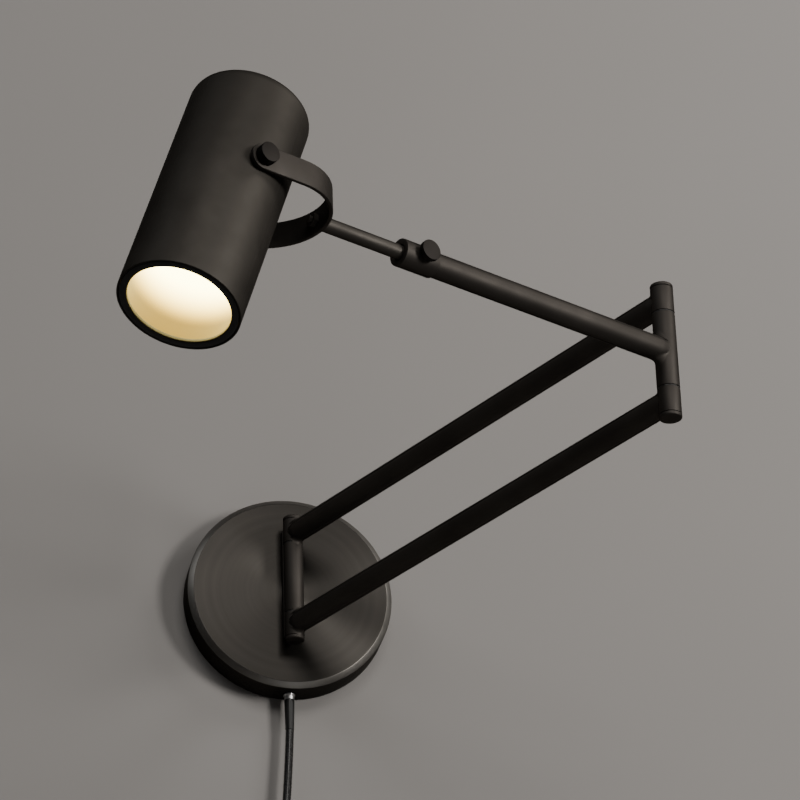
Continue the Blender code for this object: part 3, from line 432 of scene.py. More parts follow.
def spun_bronze():
    """The plate's face: turned on a lathe, so its fine lines run round the centre."""
    tone = (0.040, 0.037, 0.0335)
    shader = Shader("spun_bronze", tone, 1.0, 0.42)
    shader.set("Specular Tint", (0.22, 0.21, 0.20, 1.0))
    shader.set("Anisotropic", 0.80)
    shader.set("Anisotropic Rotation", 0.25)
    split = shader.node("ShaderNodeSeparateXYZ", Vector=shader.coords)
    flat = shader.node("ShaderNodeCombineXYZ")
    shader.link(split.outputs["X"], flat.inputs["X"])
    shader.link(split.outputs["Z"], flat.inputs["Y"])
    length = shader.node("ShaderNodeVectorMath")
    length.operation = "LENGTH"
    shader.link(flat.outputs["Vector"], length.inputs[0])
    lines = shader.line_noise(length.outputs["Value"], 2600.0, 4.0, 0.7)
    bands = shader.line_noise(length.outputs["Value"], 240.0, 3.0, 0.6)
    stops = ((0.3, scaled(tone, 0.95)), (0.5, tone), (0.7, scaled(tone, 1.05)))
    shader.colours(bands, stops)
    shader.rough(shader.spread(lines, 0.39, 0.45))
    shader.bump(lines, 0.00001, 0.12)
    tangent = shader.node("ShaderNodeTangent")
    tangent.direction_type = "RADIAL"
    tangent.axis = "Y"
    shader.link(tangent.outputs["Tangent"], shader.main.inputs["Tangent"])
    return shader.material


def cut_edge():
    """The plate's turned bevel, cut brighter than its face, with a faint turned line."""
    shader = Shader("cut_edge", (0.20, 0.19, 0.175), 1.0, 0.38)
    cloud = shader.noise(60.0, 4.0)
    shader.colours(cloud, ((0.3, (0.18, 0.17, 0.157)), (0.7, (0.22, 0.21, 0.193))))
    grain = shader.noise(1400.0, 3.0, shader.stretched((0.3, 1.0, 0.3)))
    shader.rough(shader.spread(grain, 0.33, 0.43))
    shader.bump(grain, 0.00002, 0.2)
    return shader.material


def plated_steel():
    """Bright zinc or nickel plate, cloudy and finely brushed."""
    shader = Shader("plated_steel", (0.50, 0.50, 0.50), 1.0, 0.30)
    cloud = shader.noise(90.0, 4.0)
    shader.colours(cloud, ((0.3, (0.43, 0.43, 0.43)), (0.7, (0.57, 0.57, 0.56))))
    grain = shader.noise(400.0, 3.0, shader.stretched((1.0, 1.0, 0.08)))
    shader.rough(shader.spread(grain, 0.26, 0.46))
    shader.bump(grain, 0.00002, 0.3)
    return shader.material


def bright_brass():
    """Brass with soft darker clouds."""
    shader = Shader("bright_brass", (0.62, 0.46, 0.20), 1.0, 0.24)
    cloud = shader.noise(140.0, 4.0)
    shader.colours(cloud, ((0.3, (0.52, 0.37, 0.15)), (0.7, (0.70, 0.53, 0.25))))
    shader.rough(shader.spread(shader.noise(500.0, 3.0), 0.18, 0.36))
    shader.bump(shader.noise(900.0, 2.0), 0.00001, 0.3)
    return shader.material


def moulded_plastic(name, tone, roughness):
    """Moulded plastic with a fine spark-eroded grain."""
    shader = Shader(name, tone, 0.0, roughness)
    shader.set("Specular IOR Level", 0.35)
    cloud = shader.noise(70.0, 3.0)
    shader.colours(cloud, ((0.3, scaled(tone, 0.88)), (0.7, scaled(tone, 1.12))))
    shader.rough(shader.spread(cloud, roughness - 0.05, roughness + 0.06))
    shader.bump(shader.noise(3200.0, 2.0), 0.00003, 0.5)
    return shader.material


def cord_jacket():
    """A smooth PVC jacket with faint marks of the twisted cores under it."""
    shader = Shader("cord_jacket", (0.008, 0.0075, 0.0075), 0.0, 0.26)
    shader.set("Specular IOR Level", 0.35)
    cloud = shader.noise(120.0, 3.0)
    shader.colours(cloud, ((0.3, (0.006, 0.0056, 0.0056)), (0.7, (0.011, 0.0105, 0.0100))))
    shader.rough(shader.spread(shader.noise(260.0, 3.0), 0.20, 0.32))
    shader.bump(shader.noise(340.0, 2.0), 0.00006, 0.25)
    return shader.material


def woven_strap():
    """The cord tie's looped fabric."""
    shader = Shader("woven_strap", (0.02, 0.02, 0.02), 0.0, 0.85)
    shader.set("Sheen Weight", 0.4)
    cells = shader.node("ShaderNodeTexVoronoi", Vector=shader.coords, Scale=1500.0)
    fac = cells.outputs["Distance"]
    shader.colours(fac, ((0.0, (0.012, 0.012, 0.012)), (0.7, (0.045, 0.044, 0.042))))
    shader.bump(fac, 0.0002, 0.8)
    return shader.material


def enamel_with_painted_glow():
    """The reflector's warm coat, with a little orange peel, and a painted glow: an emission that
    stands in for the bulb's light on it, stronger towards the bulb.
    """
    shader = Shader("enamel_with_painted_glow", (0.055, 0.032, 0.004), 0.0, 0.42)
    shader.set("Specular IOR Level", 0.2)
    cloud = shader.noise(40.0, 3.0)
    shader.colours(cloud, ((0.3, (0.050, 0.029, 0.0035)), (0.7, (0.060, 0.035, 0.0045))))
    shader.rough(shader.spread(cloud, 0.34, 0.46))
    shader.bump(shader.noise(700.0, 2.0), 0.00006, 0.4)
    # Painted glow: the emission grows from dim orange at the mouth to bright yellow beside the
    # bulb, in place of the bulb's light falling on the enamel.
    down = (TILT.to_3x3() @ Vector((0, 0, -1))).normalized()
    place_down = shader.node("ShaderNodeVectorMath")
    place_down.operation = "DOT_PRODUCT"
    shader.link(shader.coords, place_down.inputs[0])
    place_down.inputs[1].default_value = down
    depth = shader.node("ShaderNodeMapRange", Value=place_down.outputs["Value"])
    depth.interpolation_type = "SMOOTHSTEP"
    pivot = down.dot(TILT.translation)
    depth.inputs["From Min"].default_value = pivot + 0.084  # near the mouth
    depth.inputs["From Max"].default_value = pivot + 0.050  # beside the bulb
    painted_glow = shader.node("ShaderNodeValToRGB", Fac=depth.outputs["Result"])
    painted_glow.color_ramp.elements[0].color = (1.0, 0.60, 0.05, 1.0)
    painted_glow.color_ramp.elements[1].color = (1.0, 0.86, 0.36, 1.0)
    shader.link(painted_glow.outputs["Color"], shader.main.inputs["Emission Color"])
    strength = shader.spread(depth.outputs["Result"], 0.55, 15.0, 0.0, 1.0)
    shader.link(strength, shader.main.inputs["Emission Strength"])
    return shader.material


def frosted_bulb():
    """Frosted glass, glowing warm white."""
    shader = Shader("frosted_bulb", (0.98, 0.95, 0.88), 0.0, 0.35)
    cloud = shader.noise(60.0, 3.0)
    shader.colours(cloud, ((0.3, (0.96, 0.92, 0.84)), (0.7, (1.0, 0.97, 0.91))))
    shader.rough(shader.spread(cloud, 0.30, 0.42))
    shader.bump(shader.noise(1500.0, 2.0), 0.00003, 0.3)
    shader.set("Emission Color", (1.0, 0.84, 0.40, 1.0))
    shader.set("Emission Strength", 5.0)
    return shader.material


def paint(name, tone):
    """Matt paint, clear when it is seen from behind so that it hides no view."""
    shader = Shader(name, tone, 0.0, 0.85)
    cloud = shader.noise(1.6, 3.0)
    shader.colours(cloud, ((0.3, scaled(tone, 0.97)), (0.7, scaled(tone, 1.03))))
    shader.bump(shader.noise(300.0, 2.0), 0.0002, 0.05)
    clear = shader.node("ShaderNodeBsdfTransparent")
    mix = shader.node("ShaderNodeMixShader")
    geometry = shader.node("ShaderNodeNewGeometry")
    shader.link(geometry.outputs["Backfacing"], mix.inputs["Fac"])
    shader.link(shader.main.outputs["BSDF"], mix.inputs[1])
    shader.link(clear.outputs["BSDF"], mix.inputs[2])
    shader.link(mix.outputs["Shader"], shader.tree.nodes["Material Output"].inputs["Surface"])
    return shader.material


BRONZE = satin_bronze("satin_bronze", (0.058, 0.0525, 0.0475), 0.58)
SHADE_BRONZE = satin_bronze("shade_bronze", (0.054, 0.0495, 0.044), 0.60)
KNOB_BRONZE = satin_bronze("knob_bronze", (0.027, 0.0245, 0.0228), 0.52)
ROD_BRONZE = satin_bronze("rod_bronze", (0.064, 0.0585, 0.0525), 0.56)
SPUN = spun_bronze()
CUT_EDGE = cut_edge()
STEEL = plated_steel()
BRASS = bright_brass()
BLACK = moulded_plastic("black_plastic", (0.008, 0.008, 0.008), 0.36)
RIM_BLACK = moulded_plastic("rim_black", (0.005, 0.005, 0.005), 0.50)
NYLON = moulded_plastic("nylon", (0.022, 0.021, 0.020), 0.50)
ORANGE = moulded_plastic("connector_plastic", (0.52, 0.17, 0.04), 0.42)
JACKET = cord_jacket()
STRAP = woven_strap()
ENAMEL_PAINTED_GLOW = enamel_with_painted_glow()
BULB = frosted_bulb()
SLOT_MATERIALS = {
    "bronze_paint": BRONZE,
    "knob_paint": KNOB_BRONZE,
    "steel": STEEL,
    "brass": BRASS,
    "black_plastic": BLACK,
    "nylon": NYLON,
    "reflector_white": ENAMEL_PAINTED_GLOW,
    "bulb_glass": BULB,
    "connector": ORANGE,
    "cord_jacket": JACKET,
}


def dress_cad_nodes():
    """Gives each CAD node the material of its slot in the record."""
    for entry in frame["record"]["subparts"]:
        obj = frame["nodes"][entry["node"]]
        material = SLOT_MATERIALS[entry["material_slot"]]
        if not obj.material_slots:
            obj.data.materials.append(material)
        for held in obj.material_slots:
            held.material = material


# Pieces


def plate():
    """The spun dish, with its bevel in a brighter material."""
    face = 0.0717
    radius = 0.0760
    front = 0.0236
    bevel_back = 0.0206
    profile = [
        (0.0, front),
        (face, front),
        (radius, bevel_back),
        (radius, 0.0),
        (0.0740, 0.0),
        (0.0740, 0.0196),
        (0.0707, 0.0216),
        (0.0, 0.0216),
    ]
    bm = bmesh.new()
    lathe(bm, soften(profile, 0.0005, 3), OUTWARD, 192)
    dish = piece("plate_dish", bm, SPUN, 40)
    dish.data.materials.append(CUT_EDGE)
    for part in dish.data.polygons:
        reach = math.hypot(part.center.x, part.center.z)
        if face < reach < radius and part.center.y < -bevel_back - 0.0001:
            part.material_index = 1
    place(dish, "backplate", "bronze_paint", "canopy")


def barrel(bm, matrix, low, high, radius):
    profile = [(0, high), (radius, high), (radius, low), (0, low)]
    lathe(bm, soften(profile, 0.0004, 2), matrix, 64)


def weld(bm, matrix, tube, post, size):
    """The smooth weld where a tube along x meets a post along z, above and below the tube."""
    steps = 24
    arc_steps = 7
    side_limit = 0.98 * post  # just short of the post's side
    widest = math.asin(0.93 * post / tube)  # how far round the tube the weld goes
    for side in (1, -1):
        rows = []
        for i in range(steps + 1):
            share = 2 * i / steps - 1
            angle = widest * share
            reach = size * math.cos(share * math.pi / 2)
            y = tube * math.sin(angle)
            z = tube * math.cos(angle)
            on_tube = Vector((math.sqrt(post**2 - y**2) + reach, y, z))
            y_post = y * (1 + 0.25 * reach / tube)
            y_post = max(-side_limit, min(y_post, side_limit))
            x = math.sqrt(post**2 - y_post**2)
            on_post = Vector((x, y_post, z + reach))
            corner = Vector((x, y, z))
            line = []
            for k in range(arc_steps + 1):
                t = k / arc_steps
                spot = on_tube * (1 - t) ** 2 + corner * 2 * t * (1 - t) + on_post * t**2
                line.append(bm.verts.new(matrix @ Vector((spot.x, spot.y, side * spot.z))))
            rows.append(line)
        for first, second in zip(rows, rows[1:]):
            for k in range(arc_steps):
                bm.faces.new((first[k], first[k + 1], second[k + 1], second[k]))


def narrowing(radius, post):
    """A tube's (radius, distance) line from the post's axis, slimmer inside its weld."""
    slim = post - 0.0003
    steps = 8
    line = [(0.0, 0.0005), (slim, 0.0005)]
    for k in range(steps + 1):
        width = slim + (radius - slim) * ease(k / steps)
        line.append((width, 0.0020 + 0.0075 * k / steps))
    return line


def hinge_leaf():
    """The bar on the plate, its web and its knuckle. Depths are counted from the wall."""
    bar_front = HINGE_DEPTH - 0.0293
    bar_back = HINGE_DEPTH - 0.0239
    web_back = HINGE_DEPTH - 0.0283
    bm = bmesh.new()
    slab(bm, (-0.0066, bar_front, -0.0430), (0.0066, bar_back, 0.0430), HINGE, 0.0007)
    slab(bm, (-0.0040, 0.0005, -0.0265), (0.0040, web_back, 0.0265), HINGE, 0.0004)
    barrel(bm, HINGE, -KNUCKLE_HALF, KNUCKLE_HALF, WALL_BARREL)
    place(piece("wall_leaf", bm, BRONZE), "backplate", "bronze_paint", "hinge_leaf")


def rails():
    """Each rail is one tube between the hinge barrels at its two ends."""
    start = 0.0284
    end = 0.0467
    ends = ((0.0, WALL_BARREL, 0.0), (LOWER_LENGTH, ELBOW_BARREL, math.pi))
    for side, sign in (("upper", 1), ("lower", -1)):
        bm = bmesh.new()
        level = LOWER @ Matrix.Translation((0, 0, sign * RAIL_LEVEL))
        far = [(r, LOWER_LENGTH - x) for r, x in narrowing(TUBE_RADIUS, ELBOW_BARREL)]
        line = narrowing(TUBE_RADIUS, WALL_BARREL) + far[::-1]
        lathe(bm, soften(line, 0.0012, 4), level @ ALONG, 64)
        low = min(sign * start, sign * end)
        for x, radius, turn in ends:
            shift = Matrix.Translation((x, 0, 0))
            barrel(bm, LOWER @ shift, low, low + end - start, radius)
            spot = level @ shift @ Matrix.Rotation(turn, 4, "Z")
            weld(bm, spot, TUBE_RADIUS, radius, 0.0034)
        place(piece(f"{side}_tube", bm, BRONZE), "lower_arm", "bronze_paint", f"{side}_rail")


def caps():
    """The domed caps on the outer ends of the hinge barrels."""
    tall = 0.0025
    level = Matrix.Translation((0, 0, 0.0470))
    for hinge, x, radius in (("wall", 0.0, WALL_BARREL), ("elbow", LOWER_LENGTH, ELBOW_BARREL)):
        dome = soften([(0.0, tall), (radius, tall), (radius, 0.0)], 0.0014, 5)
        profile = dome[:-1] + [(radius, 0.0002), (radius - 0.0003, 0.0), (0.0, 0.0)]
        for side, turn in (("top", ROOT), ("bottom", FLIP)):
            bm = bmesh.new()
            lathe(bm, profile, LOWER @ Matrix.Translation((x, 0, 0)) @ turn @ level, 64)
            obj = piece(f"{hinge}_end_{side}", bm, BRONZE)
            place(obj, "lower_arm", "bronze_paint", f"{hinge}_cap_{side}")


def upper_tube():
    """The arm's tube, welded to the elbow's middle knuckle."""
    bm = bmesh.new()
    length = 0.2140
    profile = [*narrowing(TUBE_RADIUS, ELBOW_BARREL), (TUBE_RADIUS, length), (0.0, length)]
    lathe(bm, soften(profile, 0.0012, 4), UPPER @ ALONG, 64)
    barrel(bm, UPPER, -KNUCKLE_HALF, KNUCKLE_HALF, ELBOW_BARREL)
    weld(bm, UPPER, TUBE_RADIUS, ELBOW_BARREL, 0.0062)
    place(piece("upper_tube", bm, BRONZE), "upper_arm", "bronze_paint", "arm_tube")


def collar():
    """The collar over the arm's end, wide on the tube and narrow on the rod, with its boss."""
    outer = 0.0091
    on_tube = 0.0084
    on_rod = 0.0053
    start = 0.1960
    step = 0.2143
    end = 0.2220
    profile = [
        (outer, end),
        (outer, start),
        (on_tube, start),
        (on_tube, step),
        (on_rod, step),
        (on_rod, end),
    ]
    boss = [(0.0, 0.0108), (0.0036, 0.0108), (0.0042, 0.0080), (0.0, 0.0080)]
    bm = bmesh.new()
    lathe(bm, soften(profile, 0.0005, 3, True), UPPER @ ALONG, 72, True)
    lathe(bm, soften(boss, 0.0003, 2), CLAMP @ SIDEWAYS, 40)
    place(piece("rod_collar", bm, BRONZE), "upper_arm", "bronze_paint", "clamp_collar")


def knob_profile(radius, outer, inner, shank, tip):
    """A knob from outer to inner, and its thinner shank on to tip."""
    head = [(0.0, outer), (radius, outer), (radius, inner)]
    return [*head, (shank, inner), (shank, tip), (0.0, tip)]


def knobs():
    """The clamp screw's head, and the two knobs that the shade tilts on."""
    bm = bmesh.new()
    profile = knob_profile(0.0070, 0.0145, 0.0113, 0.0021, 0.0052)
    lathe(bm, soften(profile, 0.0005, 3), CLAMP @ SIDEWAYS, 64)
    place(piece("clamp_head", bm, KNOB_BRONZE), "clamp", "knob_paint", "clamp_screw")
    for side, turn in (("near", SIDEWAYS), ("far", OUTWARD)):
        bm = bmesh.new()
        profile = knob_profile(0.0066, 0.0484, 0.0422, 0.0022, 0.0325)
        lathe(bm, soften(profile, 0.0006, 3), YOKE @ turn, 64)
        obj = piece(f"tilt_knob_{side}", bm, KNOB_BRONZE)
        place(obj, f"{side}_knob", "knob_paint", f"pivot_knob_{side}")


def rod():
    """The rod, with a slim stud through the yoke at one end and a head in the arm."""
    radius = 0.0048
    stud = 0.0024
    head = 0.0062
    apex = PIVOT_PLACE - YOKE_REACH
    profile = [
        (0.0, apex + 0.0085),
        (stud, apex + 0.0085),
        (stud, apex - 0.0003),
        (radius, apex - 0.0003),
        (radius, 0.1297),
        (head, 0.1297),
        (head, 0.1260),
        (0.0, 0.1260),
    ]
    bm = bmesh.new()
    lathe(bm, soften(profile, 0.0004, 3), UPPER @ ALONG, 56)
    place(piece("slide_rod", bm, ROD_BRONZE), "rod_and_yoke", "bronze_paint", "rod")


def yoke():
    """A flat strap bent round the shade, with rounded ends at the pivots."""
    half_span = 0.0419
    thick = 0.0025
    half_width = 0.0085
    middle = half_span - thick / 2
    bend = half_span - YOKE_REACH
    tip_steps = 8
    bend_steps = 48
    side = []  # place, outward direction and half width of each cross section
    for k in range(tip_steps + 1):
        angle = math.radians(88 * (1 - k / tip_steps))
        x = half_width * math.sin(angle)
        side.append((x, middle, 0.0, 1.0, half_width * math.cos(angle)))
    side.append((bend * 0.5, middle, 0.0, 1.0, half_width))
    stations = list(side)
    for k in range(bend_steps + 1):
        angle = math.radians(90 + 180 * k / bend_steps)
        x = bend + middle * math.cos(angle)
        y = middle * math.sin(angle)
        stations.append((x, y, math.cos(angle), math.sin(angle), half_width))
    stations += [(x, -y, nx, -ny, w) for x, y, nx, ny, w in reversed(side)]
    loops = []
    for x, y, nx, ny, width in stations:
        corner = min(0.0005, width * 0.45)
        outline = rounded_rect(thick / 2, max(width, 0.0004), corner, 3)
        loops.append([(x + nx * u, y + ny * u, v) for u, v in outline])
    bm = bmesh.new()
    loft(bm, loops, YOKE)
    place(piece("yoke_strap", bm, BRONZE, 40), "rod_and_yoke", "bronze_paint", "yoke")


def shade():
    """The can with its rounded top edge, and the black ring inside its mouth."""
    outer = 0.0379
    wall = 0.0012
    top = 0.0656
    mouth = -0.0986
    hole = 0.0053
    profile = [
        (hole, top),
        (outer, top),
        (outer, mouth),
        (outer - wall, mouth),
        (outer - wall, top - wall),
        (hole, top - wall),
    ]
    corner = soften(profile[:3], 0.0076, 12)
    rolled = soften(profile[1:5], 0.0005, 3)
    inside = soften(profile[3:], 0.0060, 8)
    bm = bmesh.new()
    lathe(bm, corner[:-1] + rolled[1:-1] + inside[1:], TILT, 128, True)
    place(piece("shade_can", bm, SHADE_BRONZE, 40), "shade", "bronze_paint", "shade_shell")
    low = mouth + 0.0002
    high = low + 0.0028
    ring_outer = outer - wall - 0.0003
    ring_inner = 0.0317
    rim = [
        (ring_outer, high),
        (ring_outer, low),
        (ring_inner + 0.0006, low),
        (ring_inner, low + 0.0006),
        (ring_inner, high),
    ]
    bm = bmesh.new()
    lathe(bm, soften(rim, 0.0003, 2, True), TILT, 128, True)
    place(piece("mouth_ring", bm, RIM_BLACK), "shade", "black_plastic", "rim_ring")


def reflector():
    """The thin bell round the bulb, from the socket down to the mouth."""
    thick = 0.0008
    line = [
        (0.0190, 0.0140),
        (0.0245, 0.0020),
        (0.0290, -0.0100),
        (0.0325, -0.0300),
        (0.0348, -0.0600),
        (0.0356, -0.0953),
    ]
    smooth = [(p.x, p.z) for p in catmull([(r, 0, h) for r, h in line], 0.004)]
    inside = [(r - thick, h) for r, h in reversed(smooth)]
    bm = bmesh.new()
    lathe(bm, smooth + inside, TILT, 96, True)
    place(piece("reflector_bell", bm, ENAMEL_PAINTED_GLOW, 60), "shade", "reflector_white", "reflector")


def bulb():
    """A globe bulb, from its neck in the socket down to its lowest point."""
    radius = 0.0240
    lowest = -0.0420
    centre = lowest + radius
    neck = 0.0124
    steps = 14
    profile = [(0.0, 0.0180), (neck, 0.0180), (neck, 0.0100), (0.0150, 0.0020)]
    for k in range(steps):
        angle = math.radians(40 - 130 * k / steps)
        profile.append((radius * math.cos(angle), centre + radius * math.sin(angle)))
    profile.append((0.0, lowest))
    bm = bmesh.new()
    lathe(bm, soften(profile, 0.0020, 4), TILT, 72)
    place(piece("bulb_globe", bm, BULB, 60), "shade", "bulb_glass", "bulb_glass")


def cord_outlet():
    """The ferrule in the plate's lower edge, and the tapered sleeve that the cord leaves by."""
    spot = Matrix.Translation((0, CORD_DEPTH, 0))
    outer = 0.0037
    inner = 0.0033
    collar_radius = 0.0044
    top = -0.0680
    seat = -0.0763
    bottom = -0.0806
    profile = [
        (outer, top),
        (outer, seat),
        (collar_radius, seat),
        (collar_radius, seat - 0.0010),
        (outer, seat - 0.0014),
        (outer, bottom),
        (inner, bottom),
        (inner, top),
    ]
    bm = bmesh.new()
    lathe(bm, soften(profile, 0.0003, 2, True), spot, 48, True)
    place(piece("outlet_ferrule", bm, STEEL), "backplate", "steel", "cord_ferrule")
    shoulder = -0.0809
    end = CORD_EXIT[2]
    profile = [(0.0, -0.0690), (0.0030, -0.0690), (0.0030, shoulder), (outer, shoulder)]
    profile += [(outer, -0.0830), (0.0035, -0.0900), (0.0033, -0.0970)]
    profile += [(0.0031, end), (0.0, end)]
    bm = bmesh.new()
    lathe(bm, soften(profile, 0.0001, 1), spot, 40)
    return place(piece("relief_sleeve", bm, BLACK), "backplate", "black_plastic", "strain_relief")


def plate_screw():
    """The set screw: two domed halves with a slot between them, and its shank."""
    spot = Matrix.Translation((0, -0.0090, 0.0763))
    head = 0.0034
    half_slot = 0.0001
    under = 0.0030
    shank = 0.0018
    tip = -0.0185
    steps = 16
    dome = ((1.0, 0.0), (1.0, 0.0009), (0.93, 0.0015), (0.75, 0.0019), (0.5, 0.0020))
    bm = bmesh.new()
    for sign in (1, -1):
        rim = []
        for k in range(steps + 1):
            angle = math.radians(8 + 164 * k / steps)
            rim.append((head * math.cos(angle), sign * head * math.sin(angle)))
        loops = []
        for scale, height in dome:
            loops.append([(x * scale, y * scale + sign * half_slot, height) for x, y in rim])
        loft(bm, loops, spot)
    profile = [(0.0, 0.0010), (under, 0.0010), (under, 0.0)]
    profile += [(shank, 0.0), (shank, tip), (0.0, tip)]
    lathe(bm, profile, spot, 32)
    place(piece("set_screw", bm, KNOB_BRONZE), "backplate", "bronze_paint", "canopy_screw")


def tie():
    """A strap wrapped round the coil's turns, with its overlapped end."""
    turn = Matrix.Translation(COIL_CENTRE) @ Matrix.Rotation(-TIE_ANGLE, 4, "Y")
    thick = 0.0009
    half_width = 0.0039
    clear = TURN_PITCH + 0.0005
    low = TURN_RADIUS - 2 * TURN_PITCH - 0.0012
    high = TURN_RADIUS + 2 * TURN_PITCH + 0.0012
    middle = (low + high) / 2
    half = (high - low) / 2
    outer = rounded_rect(half + thick, clear + thick, 0.0034, 6)
    inner = rounded_rect(half, clear, 0.0026, 6)
    loops = []
    for outline, edge in ((outer, -1), (outer, 1), (inner, 1), (inner, -1)):
        loops.append([(middle + x, y, edge * half_width) for x, y in outline])
    bm = bmesh.new()
    loft(bm, [*loops, loops[0]], turn, caps=False)
    end_low = (middle - 0.0050, -clear - 0.00095, -0.0035)
    end_high = (middle + 0.0070, -clear - 0.0004, 0.0035)
    slab(bm, end_low, end_high, turn, 0.0002, 2)
    return place(piece("coil_strap", bm, STRAP), "backplate", "black_plastic", "cord_tie")


def switch():
    """The in-line switch: two shell halves with a seam, and a rocker in a recess."""
    spot = Matrix.Translation(SWITCH_PLACE)
    wide = 0.0110
    tall = 0.0278
    deep = 0.0085
    recess = 0.0030
    seam = ((0.0002, 0.0002), (0.0005, 0.0))
    levels = (*seam, (0.0058, 0.0), (0.0072, 0.0006), (0.0081, 0.0018), (deep, 0.0036))
    made = []
    for side, sign in (("front", -1), ("back", 1)):
        loops = []
        for depth, inset in levels:
            outline = rounded_rect(wide - inset, tall - inset, 0.0060 - inset * 0.5, 7)
            loops.append([(x, sign * depth, z) for x, z in outline])
        if side == "front":
            rim = rounded_rect(0.0051, 0.0092, 0.0012, 7)
            loops.append([(x, -deep, z) for x, z in rim])
            loops.append([(x, -recess, z) for x, z in rim])
        bm = bmesh.new()
        loft(bm, loops, spot)
        obj = piece(f"switch_shell_{side}", bm, BLACK)
        made.append(place(obj, "backplate", "black_plastic", f"switch_case_{side}"))
    rocked = Matrix.Rotation(math.radians(8), 4, "X")
    dip = 14.0  # the hollow of the rocker's face, which deepens with the square of z
    loops = []
    for depth, inset in ((0.0018, 0.0), (-0.0026, 0.0), (-0.0036, 0.0004), (-0.0040, 0.0012)):
        outline = rounded_rect(0.0046 - inset, 0.0082 - inset, 0.0010, 4)
        hollow = dip if depth < 0 else 0.0
        loops.append([(x, depth + hollow * z * z, z) for x, z in outline])
    bm = bmesh.new()
    loft(bm, loops, spot @ Matrix.Translation((0, -0.0060, 0)) @ rocked)
    obj = piece("rocker_key", bm, BLACK)
    made.append(place(obj, "rocker", "black_plastic", "switch_rocker"))
    return made


def plug():
    """A moulded two-blade plug: a ribbed neck that widens into a flat body."""
    spot = Matrix.Translation(PLUG_PLACE)
    sections = (  # height, half width, half depth and how round its corners are
        (0.0, 0.0036, 0.0036, 1.0),
        (-0.0012, 0.0041, 0.0041, 1.0),
        (-0.0050, 0.0044, 0.0044, 1.0),
        (-0.0056, 0.0039, 0.0039, 1.0),
        (-0.0068, 0.0039, 0.0039, 1.0),
        (-0.0074, 0.0048, 0.0048, 1.0),
        (-0.0104, 0.0050, 0.0050, 1.0),
        (-0.0110, 0.0044, 0.0044, 1.0),
        (-0.0122, 0.0044, 0.0044, 1.0),
        (-0.0130, 0.0058, 0.0054, 0.9),
        (-0.0160, 0.0085, 0.0062, 0.8),
        (-0.0190, 0.0112, 0.0070, 0.6),
        (-0.0215, 0.0123, 0.0074, 0.5),
        (-0.0300, 0.0125, 0.0075, 0.45),
        (-0.0380, 0.0122, 0.0073, 0.45),
        (-0.0395, 0.0118, 0.0069, 0.45),
        (-0.0400, 0.0110, 0.0062, 0.45),
    )
    loops = []
    for height, wide, deep, roundness in sections:
        corner = min(wide, deep) * roundness * 0.999
        outline = rounded_rect(wide, deep, corner, 8)
        loops.append([(x, y, height) for x, y in outline])
    bm = bmesh.new()
    loft(bm, loops, spot)
    return place(piece("plug_shell", bm, BLACK, 28), "backplate", "black_plastic", "plug_body")


def mains_cord(with_pieces):
    """The whole cord as one curve, in place of the cord's CAD nodes. The pieces handed to it are
    not used.
    """
    points = cord_points()
    curve = bpy.data.curves.new("mains_cord", "CURVE")
    curve.dimensions = "3D"
    curve.bevel_depth = CORD_RADIUS
    curve.bevel_resolution = 6
    curve.use_fill_caps = True
    spline = curve.splines.new("POLY")
    spline.points.add(len(points) - 1)
    for point, spot in zip(spline.points, points):
        point.co = (*spot, 1.0)
    spline.use_smooth = True
    curve.materials.append(JACKET)
    obj = add_object("mains_cord", curve)
    nodes = ("cord_upper", "cord_middle", "cord_tail", "cord_coil")
    place(obj, "backplate", "cord_jacket", *nodes)


# Surroundings


def stage(name, bm, material):
    """A mesh that belongs to the room and not to the lamp."""
    mesh = bpy.data.meshes.new(name)
    bm.to_mesh(mesh)
    bm.free()
    mesh.materials.append(material)
    obj = add_object(name, mesh)
    return obj


def stage_wall():
    """A pale wall, open behind the plate."""
    steps = 64
    inner = []
    outer = []
    bm = bmesh.new()
    for k in range(steps):
        angle = math.tau * k / steps
        x = math.cos(angle)
        z = math.sin(angle)
        reach = WALL_REACH / max(abs(x), abs(z))
        inner.append(bm.verts.new((WALL_HOLE * x, WALL_GAP, WALL_HOLE * z)))
        outer.append(bm.verts.new((reach * x, WALL_GAP, max(reach * z, FLOOR_LEVEL))))
    for k in range(steps):
        n = (k + 1) % steps
        bm.faces.new((inner[k], inner[n], outer[n], outer[k]))
    for face in bm.faces:
        face.normal_update()
        if face.normal.y > 0:
            face.normal_flip()
    stage("wall", bm, paint("wall_paint", (0.27, 0.258, 0.249)))


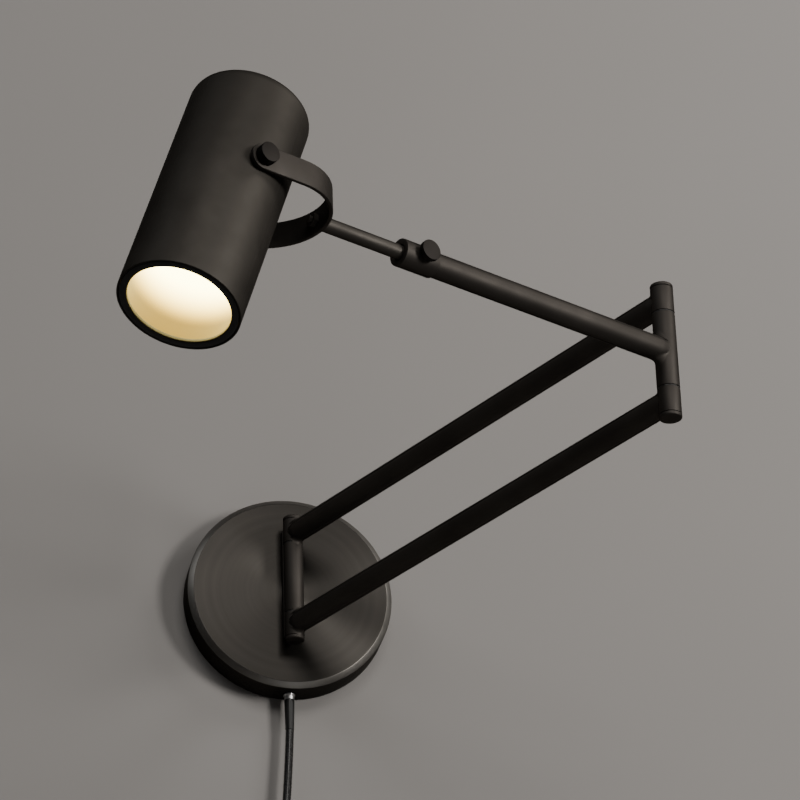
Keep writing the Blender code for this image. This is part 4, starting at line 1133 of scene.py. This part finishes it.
def stage_floor():
    bm = bmesh.new()
    bmesh.ops.create_grid(bm, x_segments=2, y_segments=2, size=FLOOR_SIZE)
    floor = stage("floor", bm, paint("floor_paint", (0.50, 0.485, 0.47)))
    floor.location = (0, 0, FLOOR_LEVEL)


def area_light(name, spot, target, size, power, colour):
    """A rectangular light at a spot, turned to its target. The power is in watts."""
    data = bpy.data.lights.new(name, "AREA")
    data.shape = "RECTANGLE"
    data.size = size[0]
    data.size_y = size[1]
    data.energy = power
    data.color = colour
    light = add_object(name, data)
    light.location = spot
    aim = Vector(target) - Vector(spot)
    light.rotation_euler = aim.to_track_quat("-Z", "Y").to_euler()


def lights():
    warm = (1.0, 0.97, 0.93)
    cool = (0.96, 0.98, 1.0)
    area_light("key", (1.80, -2.20, -0.05), (0.0, -0.35, 0.0), (0.55, 0.7), 46.0, warm)
    area_light("front", (0.05, -2.60, 1.15), (0.0, -0.3, 0.0), (1.3, 1.0), 23.0, warm)
    area_light("side", (1.25, -0.85, 0.95), (0.05, -0.25, 0.05), (0.5, 0.5), 8.0, warm)
    area_light("fill", (-1.5, -1.3, 1.5), (-0.1, -0.5, 0.0), (1.1, 0.9), 5.0, cool)
    area_light("low", (0.5, -2.2, -2.2), (0.0, -0.1, 0.0), (1.2, 0.6), 2.5, cool)
    area_light("back", (-0.7, 2.2, 1.4), (0.0, 0.0, 0.0), (1.2, 1.2), 16.0, cool)
    world = bpy.data.worlds.new("studio")
    world.use_nodes = True
    background = world.node_tree.nodes["Background"]
    background.inputs["Color"].default_value = (0.86, 0.85, 0.84, 1.0)
    background.inputs["Strength"].default_value = 0.04
    bpy.context.scene.world = world


make_camera()
dress_cad_nodes()
blades = [frame["nodes"]["plug_blade_left"], frame["nodes"]["plug_blade_right"]]
mains_cord([cord_outlet(), tie(), *switch(), plug(), *blades])
plate()
plate_screw()
hinge_leaf()
rails()
caps()
upper_tube()
collar()
knobs()
rod()
yoke()
shade()
reflector()
bulb()
stage_wall()
stage_floor()
lights()
bpy.context.view_layer.update()
